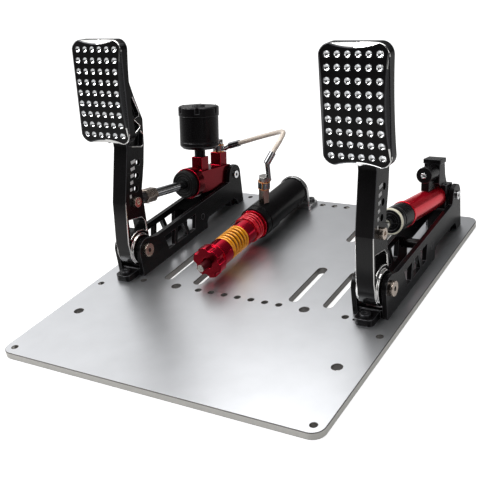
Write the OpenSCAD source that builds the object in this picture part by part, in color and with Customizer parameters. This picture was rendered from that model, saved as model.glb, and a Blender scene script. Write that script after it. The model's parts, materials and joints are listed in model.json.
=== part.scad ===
// Sim racing pedal set: a brake pedal with its master cylinder, a throttle pedal with its damper,
// and a pressure unit between them, all on one base plate.
// +X is the driver's right, +Y points away from the driver and +Z is up.
// The origin lies under the middle of the base plate, on the surface that the set stands on.

/* [Base plate] */
// Width of the base plate
plate_w = 400; // [390:2:460]
// Depth of the base plate
plate_d = 468; // [464:2:540]
// Thickness of the base plate
plate_t = 8; // [7:0.5:12]
// Corner radius of the base plate
plate_corner_r = 14; // [4:1:20]
// Radius of the corner mounting holes
mount_hole_r = 3.5; // [2.5:0.25:4.5]
// Distance between the mounting holes across the plate
mount_span_x = 376; // [370:2:380]
// Distance between the mounting holes along the plate
mount_span_y = 153.5; // [130:0.5:170]
// Distance from the front edge to the first mounting holes
mount_inset = 12; // [8:1:20]
// Width of the adjusting slots
slot_w = 11.5; // [8:0.5:14]
// Length of the adjusting slots
slot_len = 84; // [60:1:84]
// Pitch of the row of small holes
row_pitch = 18.5; // [14:0.5:20]

/* [Frames] */
// Distance from the middle of the set to the middle of each pedal
pedal_x = 163.5; // [150:0.5:166]
// Gap between the two side plates of a frame
frame_gap = 29; // [28.8:0.1:34]
// Thickness of a side plate
side_t = 6; // [4:0.5:7]
// Distance from the front edge of the base plate to the pivots
pivot_inset = 213; // [205:1:225]
// Height of the pivots over the base plate
pivot_h = 31; // [28:0.5:36]
// Distance from the pivots to the rear pins
wheelbase = 219; // [212:1:222]
// Height of the rear pins over the base plate
pin_h = 46; // [44:0.5:54]
// Radius of the rounded nose round a pivot
nose_r = 15; // [13:0.5:18]
// Radius of the rounded tower round a rear pin
tower_r = 14; // [11:0.5:16]
// Height of the rail between nose and tower
rail_h = 40; // [36:0.5:42]
// Height of the arch under the rear of a side plate
arch_h = 13; // [8:0.5:16]
// Number of cutouts in a side plate
cutouts = 3; // [1:1:3]
// Radius of the cross bars
bar_r = 6; // [5:0.5:8]
// Length of the foot in front of a frame
foot_len = 20; // [16:1:26]
// Width of the foot in front of a frame
foot_w = 22; // [20:1:28]
// Thickness of the foot in front of a frame
foot_t = 8; // [6:0.5:9]

/* [Pedal arms] */
// Thickness of an arm
arm_t = 21; // [19:0.5:23]
// Radius of an arm's hub
hub_r = 21; // [20:0.25:22]
// Width of the hub with its bosses
hub_w = 26; // [25:0.1:26]
// Radius of the pivot shafts
shaft_r = 5; // [4:0.25:6]
// Lean of the throttle arm towards the driver
throttle_lean = 2.83; // [0:0.1:5]
// Radius of the leverage holes
lever_hole_r = 4; // [3:0.25:4.5]
// Pitch of the leverage holes
lever_pitch = 16.35; // [14:0.25:17]
// Width of the slot that takes the rod end
arm_slot_w = 10.5; // [10:0.25:12]
// Depth of the pockets in the head of an arm
pocket_depth = 7; // [3:0.5:8]

/* [Pads] */
// Width of a pad
pad_w = 74; // [60:1:74]
// Height of a pad
pad_h = 121; // [110:1:130]
// Thickness of a pad
pad_t = 12.5; // [9:0.5:14]
// Radius of a pad's curved face
pad_face_r = 400; // [300:10:600]
// Corner radius of a pad
pad_corner_r = 13; // [8:0.5:16]
// Columns of dimples
dimple_columns = 6; // [4:1:6]
// Rows of dimples
dimple_rows = 9; // [6:1:9]
// Distance between the columns of dimples
dimple_pitch_x = 10.85; // [8:0.25:11]
// Distance between the rows of dimples
dimple_pitch_z = 12.5; // [9:0.25:12.5]
// Radius of a dimple's rim
dimple_rim_r = 3.3; // [2:0.1:3.6]
// Depth of a dimple
dimple_depth = 1.6; // [0.8:0.1:2]

/* [Linkage] */
// Length of a rod end from its eye to its shoulder
rod_end_len = 30; // [28:1:33]
// Radius of a rod end's eye
eye_r = 11; // [9.5:0.25:11.5]
// Width of a rod end's eye
eye_w = 9; // [7:0.25:9.5]
// Radius of the clevis bolts
clevis_r = 3.9; // [3:0.1:3.9]
// Radius of the rear pins
pin_r = 4; // [3:0.25:5]
// Radius of the brake's pushrod
pushrod_r = 6; // [5:0.25:7]
// Length of the brake's lock nut
lock_nut_len = 20; // [12:1:22]
// Radius of the throttle's damper rod
damper_rod_r = 6; // [5:0.25:7]

/* [Master cylinder] */
// Width of the master cylinder's body
master_w = 28; // [24:0.5:28]
// Height of the master cylinder's body
master_h = 30; // [27:0.5:32]
// Radius of the round collar at the front of the body
master_collar_r = 21; // [18:0.5:22]
// Distance from the rear pin to the front of the collar
master_front = 91.6; // [88:0.2:95]
// Radius of the rubber boot
boot_r = 18.5; // [15:0.5:20]
// Radius of the master cylinder's bore
master_bore_r = 9; // [7:0.5:10]
// Height of the two towers over the axis
tower_top = 33; // [30:0.5:36]
// Distance from the rear pin to the middle of the front tower
front_tower = 58.6; // [56:0.2:60]
// Distance from the rear pin to the middle of the rear tower
rear_tower = 11.6; // [10:0.2:14]
// Radius of the fluid reservoir
reservoir_r = 27; // [22:0.5:28]
// Height of the fluid reservoir with its cap
reservoir_h = 58; // [48:1:64]
// Height of the reservoir's cap
cap_h = 13; // [10:0.5:16]
// Wall of the reservoir
reservoir_wall = 2.5; // [1.5:0.25:4]

/* [Throttle damper] */
// Radius of the damper's front gland
gland_r = 15; // [14:0.25:16]
// Distance from the rear pin to the front of the gland
gland_front = 169.6; // [168:0.2:171]
// Length of the gland
gland_len = 38; // [30:1:42]
// Radius of the damper tube
tube_r = 13.6; // [13:0.1:14]
// Wall of the damper tube
tube_wall = 2.6; // [1.5:0.1:3.5]
// Radius of the round sensor housing
sensor_r = 9.7; // [8:0.1:10.5]
// Height of the sensor housing over the damper's axis
sensor_h = 33.8; // [32:0.2:36]

/* [Pressure unit] */
// Distance from the middle of the set to the unit's axis
unit_x = 52; // [46:1:60]
// Height of the unit's axis over the base plate
unit_h = 26; // [25:0.5:32]
// Distance from the front edge of the base plate to the front of the preload knob
knob_inset = 211; // [205:1:215]
// Length of the preload knob
knob_len = 13; // [10:0.5:14]
// Outer radius of the preload knob
knob_r = 20; // [18:0.5:21]
// Number of finger grooves in the preload knob
knob_grooves = 6; // [4:1:8]
// Length of the front sleeve
sleeve_len = 22; // [16:1:26]
// Outer radius of the front sleeve, the front spring and the spacer
stack_r = 16.5; // [15.5:0.25:18]
// Length of the front spring
front_spring_len = 39; // [36:0.5:44]
// Wire of the front spring
front_wire_d = 4; // [3:0.1:4.2]
// Turns of the front spring
front_turns = 4.75; // [3:0.25:5]
// Length of the spacer between the springs
spacer_len = 18; // [12:1:22]
// Length of the rear spring
rear_spring_len = 18.5; // [17.5:0.5:24]
// Outer radius of the rear spring
rear_spring_r = 18.5; // [17:0.25:19]
// Wire of the rear spring
rear_wire_d = 2.8; // [2:0.1:2.9]
// Turns of the rear spring
rear_turns = 2.5; // [1.5:0.25:2.5]
// Radius of the port collar
collar_r = 21.5; // [21:0.25:24]
// Length of the port collar
collar_len = 34; // [30:1:36]
// Radius of the long body
body_r = 20; // [18:0.25:21]
// Length of the long body behind the port collar
body_len = 76; // [60:1:78]
// Radius of the threaded rod
thread_r = 4.5; // [3.5:0.25:5]
// Lean of the hose port to the driver's right
port_lean = 8; // [0:1:20]

/* [Hose] */
// Diameter of the hose
hose_d = 6.5; // [5:0.25:7]

/* [Fits] */
// Running clearance on the radius of a shaft or pin
run_gap = 0.05; // [0.02:0.01:0.09]
// Clearance between moving parts that pass each other
free_gap = 0.5; // [0.3:0.05:0.7]
// Clearance on the radius of a rod end's eye round its bolt
eye_gap = 0.9; // [0.8:0.05:1.1]

/* [Hidden] */
$fn = 64;

// Heights and places of the frames
pivot_y = pivot_inset - plate_d / 2;
pivot_z = plate_t + pivot_h;
pin_y = pivot_y + wheelbase;
pin_z = plate_t + pin_h;
rail_z = plate_t + rail_h;
frame_front_y = pivot_y - nose_r;
frame_rear_y = pin_y + tower_r - 2;
side_shift = (frame_gap + side_t) / 2;
rail_fall = 23;
tower_foot = 18;
arch_front_y = pivot_y + 133;
arch_rear_y = pin_y - 3;
cutout_pitch = 24.5;
cutout_first = 49.5;
cutout_low = 11;
cutout_high = 31;
cutout_wide = 12;
cutout_narrow = 6;
bar_y = pivot_y + 126;
bar_z = plate_t + 20;
spigot_r = bar_r - 2;
post_t = 6;
rear_block_len = 25;
rear_block_h = 28;
foot_y = frame_front_y - foot_len;
foot_screw_y = foot_y + 9;
block_screw_y = pin_y - 1;

// Screws
screw_r = 3;
screw_head_r = 6;
screw_head_h = 3.6;
socket_af = 4;
tap_gap = 0.05;
rod_gap = 0.02;

// Arm profile, in the plane of the arm with the pivot at [0, 0]
clevis_hole = [6.5, 61.8];
lever_tilt = 23.4;
lever_holes = 4;
slot_top = (lever_holes - 1) * lever_pitch + 9.5;
slot_room = eye_r + 1.6;
pad_mid = [-7.65, 204.8];
pad_tilt = 8;
pad_seat_gap = 0.1;
pad_axis = pad_mid + pad_face_r * [cos(pad_tilt), -sin(pad_tilt)];
seat_r = pad_face_r - pad_t - pad_seat_gap;
seat_low = asin((150 - pad_axis.y) / seat_r);
seat_high = asin((252 - pad_axis.y) / seat_r);
seat_arc = [for (k = [0:8]) let (a = seat_low + (seat_high - seat_low) * k / 8)
    pad_axis + seat_r * [-cos(a), sin(a)]];
arm_front = [[-20.3, 3], [-hub_r - 0.3, 15], [-17.8, 35], [-12.3, 65], [10.5, 130], [11, 137]];
arm_rear = [[20, 255], [38, 250], [35.7, 215], [41.7, 185], [49.7, 155], [43.7, 125], [35.7, 100], [23.7, 72],
    [20.7, 25], [hub_r - 1, 4]];
window_profile = [[-14.5, 16], [-11.5, 44], [13, 37.5], [17.5, 31], [17.5, 16]];
low_pocket = [[14, 132.3], [20, 130.3], [38.9, 123.7], [40.6, 125.2], [44.6, 137], [41.2, 142.4]];
middle_pocket = [[17, 138], [31.1, 142.9], [41.8, 147.2], [41.8, 149.2], [33.4, 159.1], [20, 174]];
high_pocket = [[36.4, 160.2], [42.8, 160.8], [45, 164.4], [37.7, 186.4], [20, 186.4], [20, 178.5]];
window_arc_r = hub_r + 3.5;
boss_r = hub_r - 1.7;
bush_r = shaft_r + 2;
flange_r = shaft_r + 4;
flange_t = (frame_gap - hub_w) / 2 - 0.2;
pad_screw_up = [-6, 34];
pad_screw_grip = 10;
pad_screw_bite = 8;
arm_depth_max = 60;

// Pad details
dimple_r = (pow(dimple_rim_r, 2) + pow(dimple_depth, 2)) / (2 * dimple_depth);
dimple_y = -pad_face_r - dimple_r + dimple_depth;
scallop_r = 80;
scallop_inset = 4.4;
side_chamfer = 4.2;

// Linkages, from the clevis bolt to the rear pin
brake_clevis = clevis_hole;
throttle_clevis = turned(clevis_hole, throttle_lean);
pin_from_pivot = [wheelbase, pin_z - pivot_z];
brake_run = pin_from_pivot - brake_clevis;
throttle_run = pin_from_pivot - throttle_clevis;
brake_len = norm(brake_run);
throttle_len = norm(throttle_run);
brake_tilt = -atan2(brake_run.y, brake_run.x);
throttle_tilt = -atan2(throttle_run.y, throttle_run.x);
neck_r = 6.5;
stud_r = 4;
brake_stud_len = 28;
throttle_stud_len = 14;
nut_af = 17;
bolt_head_r = 6.5;
bolt_head_h = 5;

// Master cylinder, distances measured forward from the rear pin
collar_len_master = 14;
boot_t = 8;
lug_r = 13;
tower_w = 17;
bore_end = 17;
piston_len = 22;
piston_front = master_front - 10;
tower_bore_r = 5;
neck_top = 45;
reservoir_bottom = neck_top;
reservoir_top = reservoir_bottom + reservoir_h;
cap_lip = 1;
washer_r = 8;
washer_t = 1.5;
banjo_h = 8;
banjo_r = 8;
banjo_bolt_r = 4.9;
banjo_bolt_head_h = 6.5;
banjo_bolt_af = 13;

// Throttle damper, distances measured forward from the rear pin
ring_t = 3;
ring_wall = 1.8;
gland_rear = gland_front - gland_len;
tube_front = gland_rear;
tube_rear = 16;
rim_len = 5;
rim_r = gland_r + 0.3;
tube_bore_r = tube_r - tube_wall;
block_w = frame_gap - 2 * free_gap;
block_front = 24;
block_rear = 12;
mast_front = 38;
mast_rear = 20;
mast_w = 20;
sensor_front = 65.7;
cap_w = 22;
cap_d = 21;
sensor_cap_h = 6;
damper_rod_rear = 92;
damper_piston_len = 14;

// Pressure unit, along Y
unit_z = plate_t + unit_h;
knob_y = knob_inset - plate_d / 2;
sleeve_y = knob_y + knob_len + 1;
front_spring_y = sleeve_y + sleeve_len;
spacer_y = front_spring_y + front_spring_len;
rear_spring_y = spacer_y + spacer_len;
flange_y = rear_spring_y + rear_spring_len;
flange_len = 3;
collar_y = flange_y + flange_len + 0.3;
body_y = collar_y + collar_len;
bracket_y = body_y + body_len;
bracket_t = 5;
bracket_r = 22;
bracket_foot_len = 26;
bracket_w = 48;
guide_r = thread_r + 4.5;
guide_front_y = front_spring_y + 14;
unit_bore_r = 15;
rod_tip_y = knob_y - 15;
port_y = collar_y + 25.7;
adaptor_af = 13.5;
adaptor_top = 41;
bracket_hole_x = 15;
bracket_hole_y = bracket_y + 20;
front_row = 189.5;
rear_row = plate_d - 12;
outer_row = 101;
slot_rows = [201, plate_d - 109];
slot_columns = [66.5, 110];
wide_hole_r = 5.5;
wide_hole_x = 88;
rear_hole_x = 138;
rear_hole_r = 3;
block_screw_depth = 10;
screw_end_gap = 1.5;
screw_recess_gap = 0.4;
cap_disc_r = 9;
cap_disc_h = 2;

// Middle line of the hose, measured from the line of the rear pins and from the top of the base plate
hose_route = [
    [-126, -3, 96], [-98, 1, 104], [-68, -5, 114],
    [-42, -23, 124], [-35, -44, 121], [-39, -60, 109]
];
hose_from = [-150, -3, 91];
hose_to = [-43, -70, 94];
hose_shift = [0, pin_y, plate_t];
hose_bend_normal = [0.15, 0.68, -0.6];
hose_steps = 3;
ferrule_r = 4.6;
ferrule_len = 17;
neck_start = 6.5;
neck_len = 12;
neck_r_hose = 3.1;
hose_gap = 0.1;
hose_points = [for (p = hose_route) p + hose_shift];
hose_path = smooth_path(hose_points, hose_from + hose_shift, hose_to + hose_shift, hose_steps);
hose_start = hose_points[0];
hose_end = hose_points[len(hose_points) - 1];
start_direction = unit(hose_path[1] - hose_path[0]);
end_direction = unit(hose_end - hose_path[len(hose_path) - 2]);

// Middles of the two banjo eyes
eye_h = washer_t + banjo_h / 2;
master_eye = [-pedal_x, pin_y, pin_z]
    - rear_tower * [0, cos(brake_tilt), -sin(brake_tilt)]
    + (tower_top + eye_h) * [0, sin(brake_tilt), cos(brake_tilt)];
port_up = [sin(port_lean), 0, cos(port_lean)];
port_eye = [-unit_x, port_y, unit_z] + (adaptor_top + eye_h) * port_up;

function turned(p, a) = [p.x * cos(a) - p.y * sin(a), p.x * sin(a) + p.y * cos(a)];
function unit(v) = v / norm(v);
function tangent_point(c, r, p, side) =
    let (d = p - c, a = atan2(d.y, d.x) + side * acos(r / norm(d)))
    c + r * [cos(a), sin(a)];
function smallest(list, i = 0, best = 1e9) =
    i == len(list) ? best : smallest(list, i + 1, min(best, list[i]));
function path_length(path) =
    let (steps = [for (i = [1:len(path) - 1]) norm(path[i] - path[i - 1])])
    steps * [for (s = steps) 1];

// Smooth curve through the points of a route, by cubic pieces whose slopes come from the neighbours
function slope(route, i, before, after) =
    ((i == len(route) - 1 ? after : route[i + 1]) - (i == 0 ? before : route[i - 1])) / 2;
function cubic(a, b, sa, sb, t) =
    (2 * pow(t, 3) - 3 * pow(t, 2) + 1) * a + (pow(t, 3) - 2 * pow(t, 2) + t) * sa
    + (3 * pow(t, 2) - 2 * pow(t, 3)) * b + (pow(t, 3) - pow(t, 2)) * sb;
function smooth_path(route, before, after, steps) = concat(
    [for (i = [0:len(route) - 2])
        let (leave = slope(route, i, before, after), arrive = slope(route, i + 1, before, after))
        for (k = [0:steps - 1]) cubic(route[i], route[i + 1], leave, arrive, k / steps)],
    [route[len(route) - 1]]);

// Wire of a spring unrolled: straight end legs, short bends and one even rise
function spring_unrolled(length, r, d, turns) =
    let (bend = 0.75 * d, rise = length - 2 * (d + bend), run = 2 * PI * r * turns)
    let (steps = round(8 * turns))
    concat(
        [[0, 0], [0, d]],
        [for (a = [30, 60]) [bend * (1 - cos(a)), d + bend * sin(a)]],
        [for (i = [0:steps]) [bend + run * i / steps, d + bend + rise * i / steps]],
        [for (a = [60, 30]) [bend + run + bend * cos(a), length - d - bend * sin(a)]],
        [[2 * bend + run, length - d], [2 * bend + run, length]]);
function wound(p, r) =
    let (a = p.x / r * 180 / PI)
    [r * cos(a), r * sin(a), p.y];
function spring_path(length, r, d, turns) = [for (p = spring_unrolled(length, r, d, turns)) wound(p, r)];
function radial(p) = unit([p.x, p.y, 0]);
function least_gap(length, outer_r, d, turns) =
    let (path = spring_path(length, outer_r - d / 2, d, turns))
    smallest([for (i = [0:len(path) - 6]) for (j = [i + 5:len(path) - 1]) norm(path[i] - path[j])]) - d;

// Tube of triangles along a path; each reference direction stays square to the path
module swept_tube(path, refs, r, sides) {
    n = len(path);
    points = [for (i = [0:n - 1])
        let (
            t = unit(path[min(i + 1, n - 1)] - path[max(i - 1, 0)]),
            u = unit(cross(refs[i], t)),
            v = cross(t, u)
        )
        for (k = [0:sides - 1]) path[i] + r * (cos(360 * k / sides) * u + sin(360 * k / sides) * v)];
    walls = [for (i = [0:n - 2]) for (k = [0:sides - 1])
        let (a = i * sides + k, b = i * sides + (k + 1) % sides)
        each [[a, a + sides, b], [b, a + sides, b + sides]]];
    front = [for (k = [1:sides - 2]) [0, k, k + 1]];
    last = (n - 1) * sides;
    back = [for (k = [1:sides - 2]) [last, last + k + 1, last + k]];
    polyhedron(points = points, faces = concat(walls, front, back), convexity = 8);
}

module wound_spring(length, outer_r, d, turns) {
    path = spring_path(length, outer_r - d / 2, d, turns);
    swept_tube(path, [for (p = path) radial(p)], d / 2, 6);
}

// Simple bodies of revolution along X and Y, and profiles drawn in the plane of an arm
module rod_x(r, h) {
    rotate([0, 90, 0]) cylinder(r = r, h = h, center = true);
}

module rod_y(r, h) {
    rotate([-90, 0, 0]) cylinder(r = r, h = h);
}

module along_x(h) {
    rotate([90, 0, 90]) linear_extrude(height = h, center = true) children();
}

module rounded_rectangle(w, d, r) {
    square([w - 2 * r, d], center = true);
    square([w, d - 2 * r], center = true);
    for (x = [-1, 1], y = [-1, 1]) {
        translate([x * (w / 2 - r), y * (d / 2 - r)]) circle(r = r);
    }
}

module hex_bar(across_flats, h) {
    cylinder(r = across_flats / 2 / cos(30), h = h, $fn = 6);
}

// Cylinder from one point to another
module bar_between(a, b, r) {
    d = b - a;
    translate(a)
        rotate([0, acos(d.z / norm(d)), atan2(d.y, d.x)])
        cylinder(r = r, h = norm(d));
}

module button_screw(head_r, head_h, r, length) {
    difference() {
        union() {
            cylinder(r = head_r, h = head_h);
            translate([0, 0, -length]) cylinder(r = r, h = length);
        }
        translate([0, 0, head_h - 2]) hex_bar(socket_af, 3);
    }
}

// Places
module at_brake() {
    translate([-pedal_x, pivot_y, pivot_z]) children();
}

module at_throttle() {
    translate([pedal_x, pivot_y, pivot_z]) rotate([throttle_lean, 0, 0]) children();
}

module on_brake_axis() {
    translate([-pedal_x, pin_y, pin_z]) rotate([-brake_tilt, 0, 0]) children();
}

module on_throttle_axis() {
    translate([pedal_x, pin_y, pin_z]) rotate([-throttle_tilt, 0, 0]) children();
}

module on_brake_rod() {
    on_brake_axis() translate([0, -brake_len, 0]) children();
}

module on_throttle_rod() {
    on_throttle_axis() translate([0, -throttle_len, 0]) children();
}

module on_unit_axis(y) {
    translate([-unit_x, y, unit_z]) children();
}

module at_port() {
    on_unit_axis(port_y) rotate([0, port_lean, 0]) children();
}

// Plate
module slot_profile(y) {
    translate([0, y]) {
        square([slot_w, slot_len - slot_w], center = true);
        for (s = [-1, 1]) {
            translate([0, s * (slot_len - slot_w) / 2]) circle(r = slot_w / 2);
        }
    }
}

module plate_holes() {
    front = -plate_d / 2;
    for (x = [-1, 1], y = [0, 1]) {
        translate([x * mount_span_x / 2, front + mount_inset + y * mount_span_y]) circle(r = mount_hole_r);
    }
    for (x = [-1, 1]) {
        translate([x * (pedal_x + 6), front + outer_row]) circle(r = wide_hole_r);
        translate([x * wide_hole_x, front + front_row]) circle(r = wide_hole_r);
        translate([x * (pedal_x - 25.5), front + front_row]) circle(r = mount_hole_r);
        translate([x * pedal_x - 13.5, pivot_y - 25]) circle(r = 2);
        translate([x * pedal_x, foot_screw_y]) circle(r = screw_r + tap_gap);
        translate([x * pedal_x, block_screw_y]) circle(r = screw_r + tap_gap);
        translate([x * rear_hole_x, front + rear_row]) circle(r = rear_hole_r);
    }
    for (i = [-3:3]) {
        translate([i * row_pitch, front + front_row]) circle(r = mount_hole_r);
    }
    for (i = [-1:1]) {
        translate([i * row_pitch, front + rear_row]) circle(r = mount_hole_r);
    }
    for (s = [-1, 1], x = slot_columns, y = slot_rows) {
        translate([s * x, 0]) slot_profile(front + y + slot_len / 2);
    }
    for (s = [-1, 1]) {
        translate([-unit_x + s * bracket_hole_x, bracket_hole_y]) circle(r = screw_r + tap_gap);
    }
}

module base_plate() {
    color("silver")
    difference() {
        linear_extrude(height = plate_t) difference() {
            rounded_rectangle(plate_w, plate_d, plate_corner_r);
            plate_holes();
        }
        for (x = [-1, 1]) {
            translate([x * pedal_x, block_screw_y, -1])
                cylinder(r = screw_head_r + 0.2, h = screw_head_h + 1.4);
        }
    }
}

// Frames
module side_profile() {
    nose = [pivot_y, pivot_z];
    tower = [pin_y, pin_z];
    rail_start = [pivot_y + rail_fall, rail_z];
    rail_end = [pin_y - tower_foot, rail_z];
    heel = [frame_rear_y, plate_t];
    difference() {
        polygon([
            [frame_front_y, plate_t], [frame_front_y, pivot_z],
            tangent_point(nose, nose_r, rail_start, 1), rail_start,
            rail_end, tangent_point(tower, tower_r, rail_end, -1),
            tangent_point(tower, tower_r, heel, 1), heel
        ]);
        polygon([
            [arch_front_y, plate_t - 1], [arch_front_y + 2, plate_t + arch_h - 4],
            [arch_front_y + 7, plate_t + arch_h], [arch_rear_y - 8, plate_t + arch_h],
            [arch_rear_y - 1, plate_t + arch_h - 7], [arch_rear_y, plate_t - 1]
        ]);
        for (i = [0:cutouts - 1]) {
            low = i % 2 == 0 ? cutout_narrow : cutout_wide;
            high = i % 2 == 0 ? cutout_wide : cutout_narrow;
            translate([pivot_y + cutout_first + i * cutout_pitch, plate_t])
                polygon([[-low, cutout_low], [low, cutout_low], [high, cutout_high], [-high, cutout_high]]);
        }
    }
}

module side_plate(x) {
    color("#26262a") translate([x, 0, 0])
    difference() {
        union() {
            along_x(side_t) side_profile();
            translate([0, pivot_y, pivot_z]) rod_x(nose_r, side_t);
            translate([0, pin_y, pin_z]) rod_x(tower_r, side_t);
        }
        translate([0, pivot_y, pivot_z]) rod_x(shaft_r + run_gap, side_t + 1);
        translate([0, pin_y, pin_z]) rod_x(pin_r + run_gap, side_t + 1);
        translate([0, bar_y, bar_z]) rod_x(spigot_r + run_gap, side_t + 1);
    }
}

module front_blocks() {
    back_y = frame_front_y + 2 + post_t;
    color("#26262a")
    for (x = [-1, 1]) {
        translate([x * pedal_x, 0, plate_t]) difference() {
            union() {
                linear_extrude(height = foot_t) {
                    translate([0, foot_y + 10]) rounded_rectangle(foot_w, 20, 6);
                    translate([-foot_w / 2, foot_y + 10]) square([foot_w, back_y - foot_y - 10]);
                }
                translate([-frame_gap / 2, frame_front_y + 2, 0])
                    cube([frame_gap, post_t, pivot_h - hub_r - 0.8]);
            }
            translate([0, foot_screw_y, -1]) cylinder(r = screw_r + tap_gap, h = foot_t + 2);
        }
    }
}

module rear_blocks() {
    color("#26262a")
    for (x = [-1, 1]) {
        translate([x * pedal_x, 0, plate_t]) difference() {
            translate([-frame_gap / 2, frame_rear_y - rear_block_len, 0])
                cube([frame_gap, rear_block_len, rear_block_h]);
            translate([0, block_screw_y, -1]) cylinder(r = screw_r + tap_gap, h = block_screw_depth + 8);
        }
    }
}

module cross_bars() {
    color("#2c2c30")
    for (x = [-1, 1]) {
        translate([x * pedal_x, bar_y, bar_z]) {
            rod_x(bar_r, frame_gap);
            rod_x(spigot_r, frame_gap + 2 * side_t);
        }
    }
}

module plate_screws() {
    color("#3a3a3e") {
        for (x = [-1, 1]) {
            translate([x * pedal_x, foot_screw_y, plate_t + foot_t])
                button_screw(screw_head_r, screw_head_h, screw_r, foot_t + plate_t - screw_end_gap);
            translate([x * pedal_x, block_screw_y, screw_head_h + screw_recess_gap]) rotate([180, 0, 0])
                button_screw(screw_head_r, screw_head_h, screw_r, plate_t + block_screw_depth);
        }
        for (s = [-1, 1]) {
            translate([-unit_x + s * bracket_hole_x, bracket_hole_y, plate_t + bracket_t])
                button_screw(screw_head_r, screw_head_h, screw_r, bracket_t + plate_t - screw_end_gap);
        }
    }
}

module headed_pin(r, head_r, head_h, socket) {
    outer = frame_gap / 2 + side_t;
    difference() {
        union() {
            rod_x(r, 2 * outer);
            translate([outer + head_h / 2, 0, 0]) rod_x(head_r, head_h);
        }
        translate([outer + head_h - 2, 0, 0]) rotate([0, 90, 0]) hex_bar(socket, 3);
    }
}

module pivot_shafts() {
    color("#c9b8a4")
    for (x = [-1, 1]) {
        translate([x * pedal_x, pivot_y, pivot_z]) headed_pin(shaft_r, shaft_r + 3.5, 4, 5);
    }
}

module rear_pins() {
    color("silver")
    for (x = [-1, 1]) {
        translate([x * pedal_x, pin_y, pin_z]) headed_pin(pin_r, pin_r + 1.5, 2.5, 4);
    }
}

// Pedals, drawn with the pivot at the origin
module pad_direction(up) {
    translate([0, pad_axis.x, pad_axis.y])
        rotate([-(pad_tilt + up / pad_face_r * 180 / PI), 0, 0])
        children();
}

module pad_screw_holes() {
    for (up = pad_screw_up) {
        pad_direction(up) translate([0, -seat_r - pad_screw_bite, 0]) {
            rod_y(screw_r + tap_gap, pad_screw_grip + pad_screw_bite + 1);
            translate([0, pad_screw_grip + pad_screw_bite, 0]) rod_y(screw_head_r - 1.4, arm_depth_max);
        }
    }
}

module pedal_arm() {
    color("#222226")
    difference() {
        union() {
            along_x(arm_t) polygon(concat(arm_front, seat_arc, arm_rear));
            rod_x(hub_r, arm_t);
            rod_x(boss_r, hub_w);
        }
        rod_x(bush_r, hub_w + 1);
        difference() {
            along_x(arm_t + 2) polygon(window_profile);
            rod_x(window_arc_r, arm_t + 3);
        }
        translate([0, clevis_hole.x, clevis_hole.y]) {
            for (i = [0:lever_holes - 1]) {
                rotate([-lever_tilt, 0, 0]) translate([0, 0, i * lever_pitch]) rod_x(lever_hole_r, arm_t + 2);
            }
            along_x(arm_slot_w) polygon([
                [-slot_room, -slot_room - 1.5], [arm_depth_max, -slot_room - 1.5],
                turned([arm_depth_max, slot_top], -lever_tilt / 2),
                turned([-slot_room, slot_top], -lever_tilt), turned([-slot_room, 0], -lever_tilt)
            ]);
        }
        for (s = [-1, 1]) {
            translate([s * (arm_t - pocket_depth + 1) / 2, 0, 0]) along_x(pocket_depth + 1) {
                polygon(low_pocket);
                polygon(middle_pocket);
                polygon(high_pocket);
            }
        }
        pad_screw_holes();
    }
}

module pad() {
    color("#1d1d20")
    difference() {
        intersection() {
            translate([0, pad_axis.x, pad_axis.y]) difference() {
                rod_x(pad_face_r, pad_w + 2);
                rod_x(pad_face_r - pad_t, pad_w + 4);
            }
            pad_direction(0) translate([0, -pad_face_r + 2 * pad_t, 0]) rotate([90, 0, 0])
                linear_extrude(height = 3 * pad_t) rounded_rectangle(pad_w, pad_h, pad_corner_r);
        }
        for (i = [0:dimple_columns - 1], j = [0:dimple_rows - 1]) {
            pad_direction((j - (dimple_rows - 1) / 2) * dimple_pitch_z)
                translate([(i - (dimple_columns - 1) / 2) * dimple_pitch_x, dimple_y, 0])
                sphere(r = dimple_r, $fn = 32);
        }
        for (s = [-1, 1]) {
            pad_direction(s * pad_h / 2)
                translate([0, -pad_face_r + scallop_inset + 1, s * (scallop_r - scallop_inset)])
                rotate([90, 0, 0])
                cylinder(r1 = scallop_r - scallop_inset - 1, r2 = scallop_r + 6, h = scallop_inset + 7);
            pad_direction(0) mirror([s > 0 ? 0 : 1, 0, 0]) linear_extrude(height = pad_h + 20, center = true)
                polygon([
                    [pad_w / 2 - side_chamfer - 2, -pad_face_r - 2], [pad_w / 2 + 2, -pad_face_r - 2],
                    [pad_w / 2 + 2, -pad_face_r + side_chamfer + 2]
                ]);
        }
        pad_screw_holes();
    }
}

module pad_screws() {
    color("#3a3a3e")
    for (up = pad_screw_up) {
        pad_direction(up) translate([0, -seat_r + pad_screw_grip, 0]) rotate([-90, 0, 0])
            button_screw(screw_head_r - 1.6, screw_head_h, screw_r, pad_screw_grip + pad_screw_bite - 0.5);
    }
}

module pivot_bushes() {
    color("#b08d57")
    for (s = [-1, 1]) {
        mirror([s > 0 ? 0 : 1, 0, 0]) rotate([0, 90, 0]) difference() {
            union() {
                translate([0, 0, 1]) cylinder(r = bush_r - 0.02, h = hub_w / 2 - 1);
                translate([0, 0, hub_w / 2]) cylinder(r = flange_r, h = flange_t);
            }
            cylinder(r = shaft_r + run_gap, h = hub_w);
        }
    }
}

module clevis_bolt() {
    color("#b9a79a") translate([0, clevis_hole.x, clevis_hole.y])
    difference() {
        union() {
            translate([-1, 0, 0]) rod_x(clevis_r, arm_t + 2);
            translate([(arm_t + bolt_head_h) / 2, 0, 0]) rod_x(bolt_head_r, bolt_head_h);
            translate([-arm_t / 2 - 3.5, 0, 0]) rotate([0, 90, 0]) hex_bar(11, 3.5);
        }
        translate([arm_t / 2 + bolt_head_h - 2.5, 0, 0]) rotate([0, 90, 0]) hex_bar(5, 3);
    }
}

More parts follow.
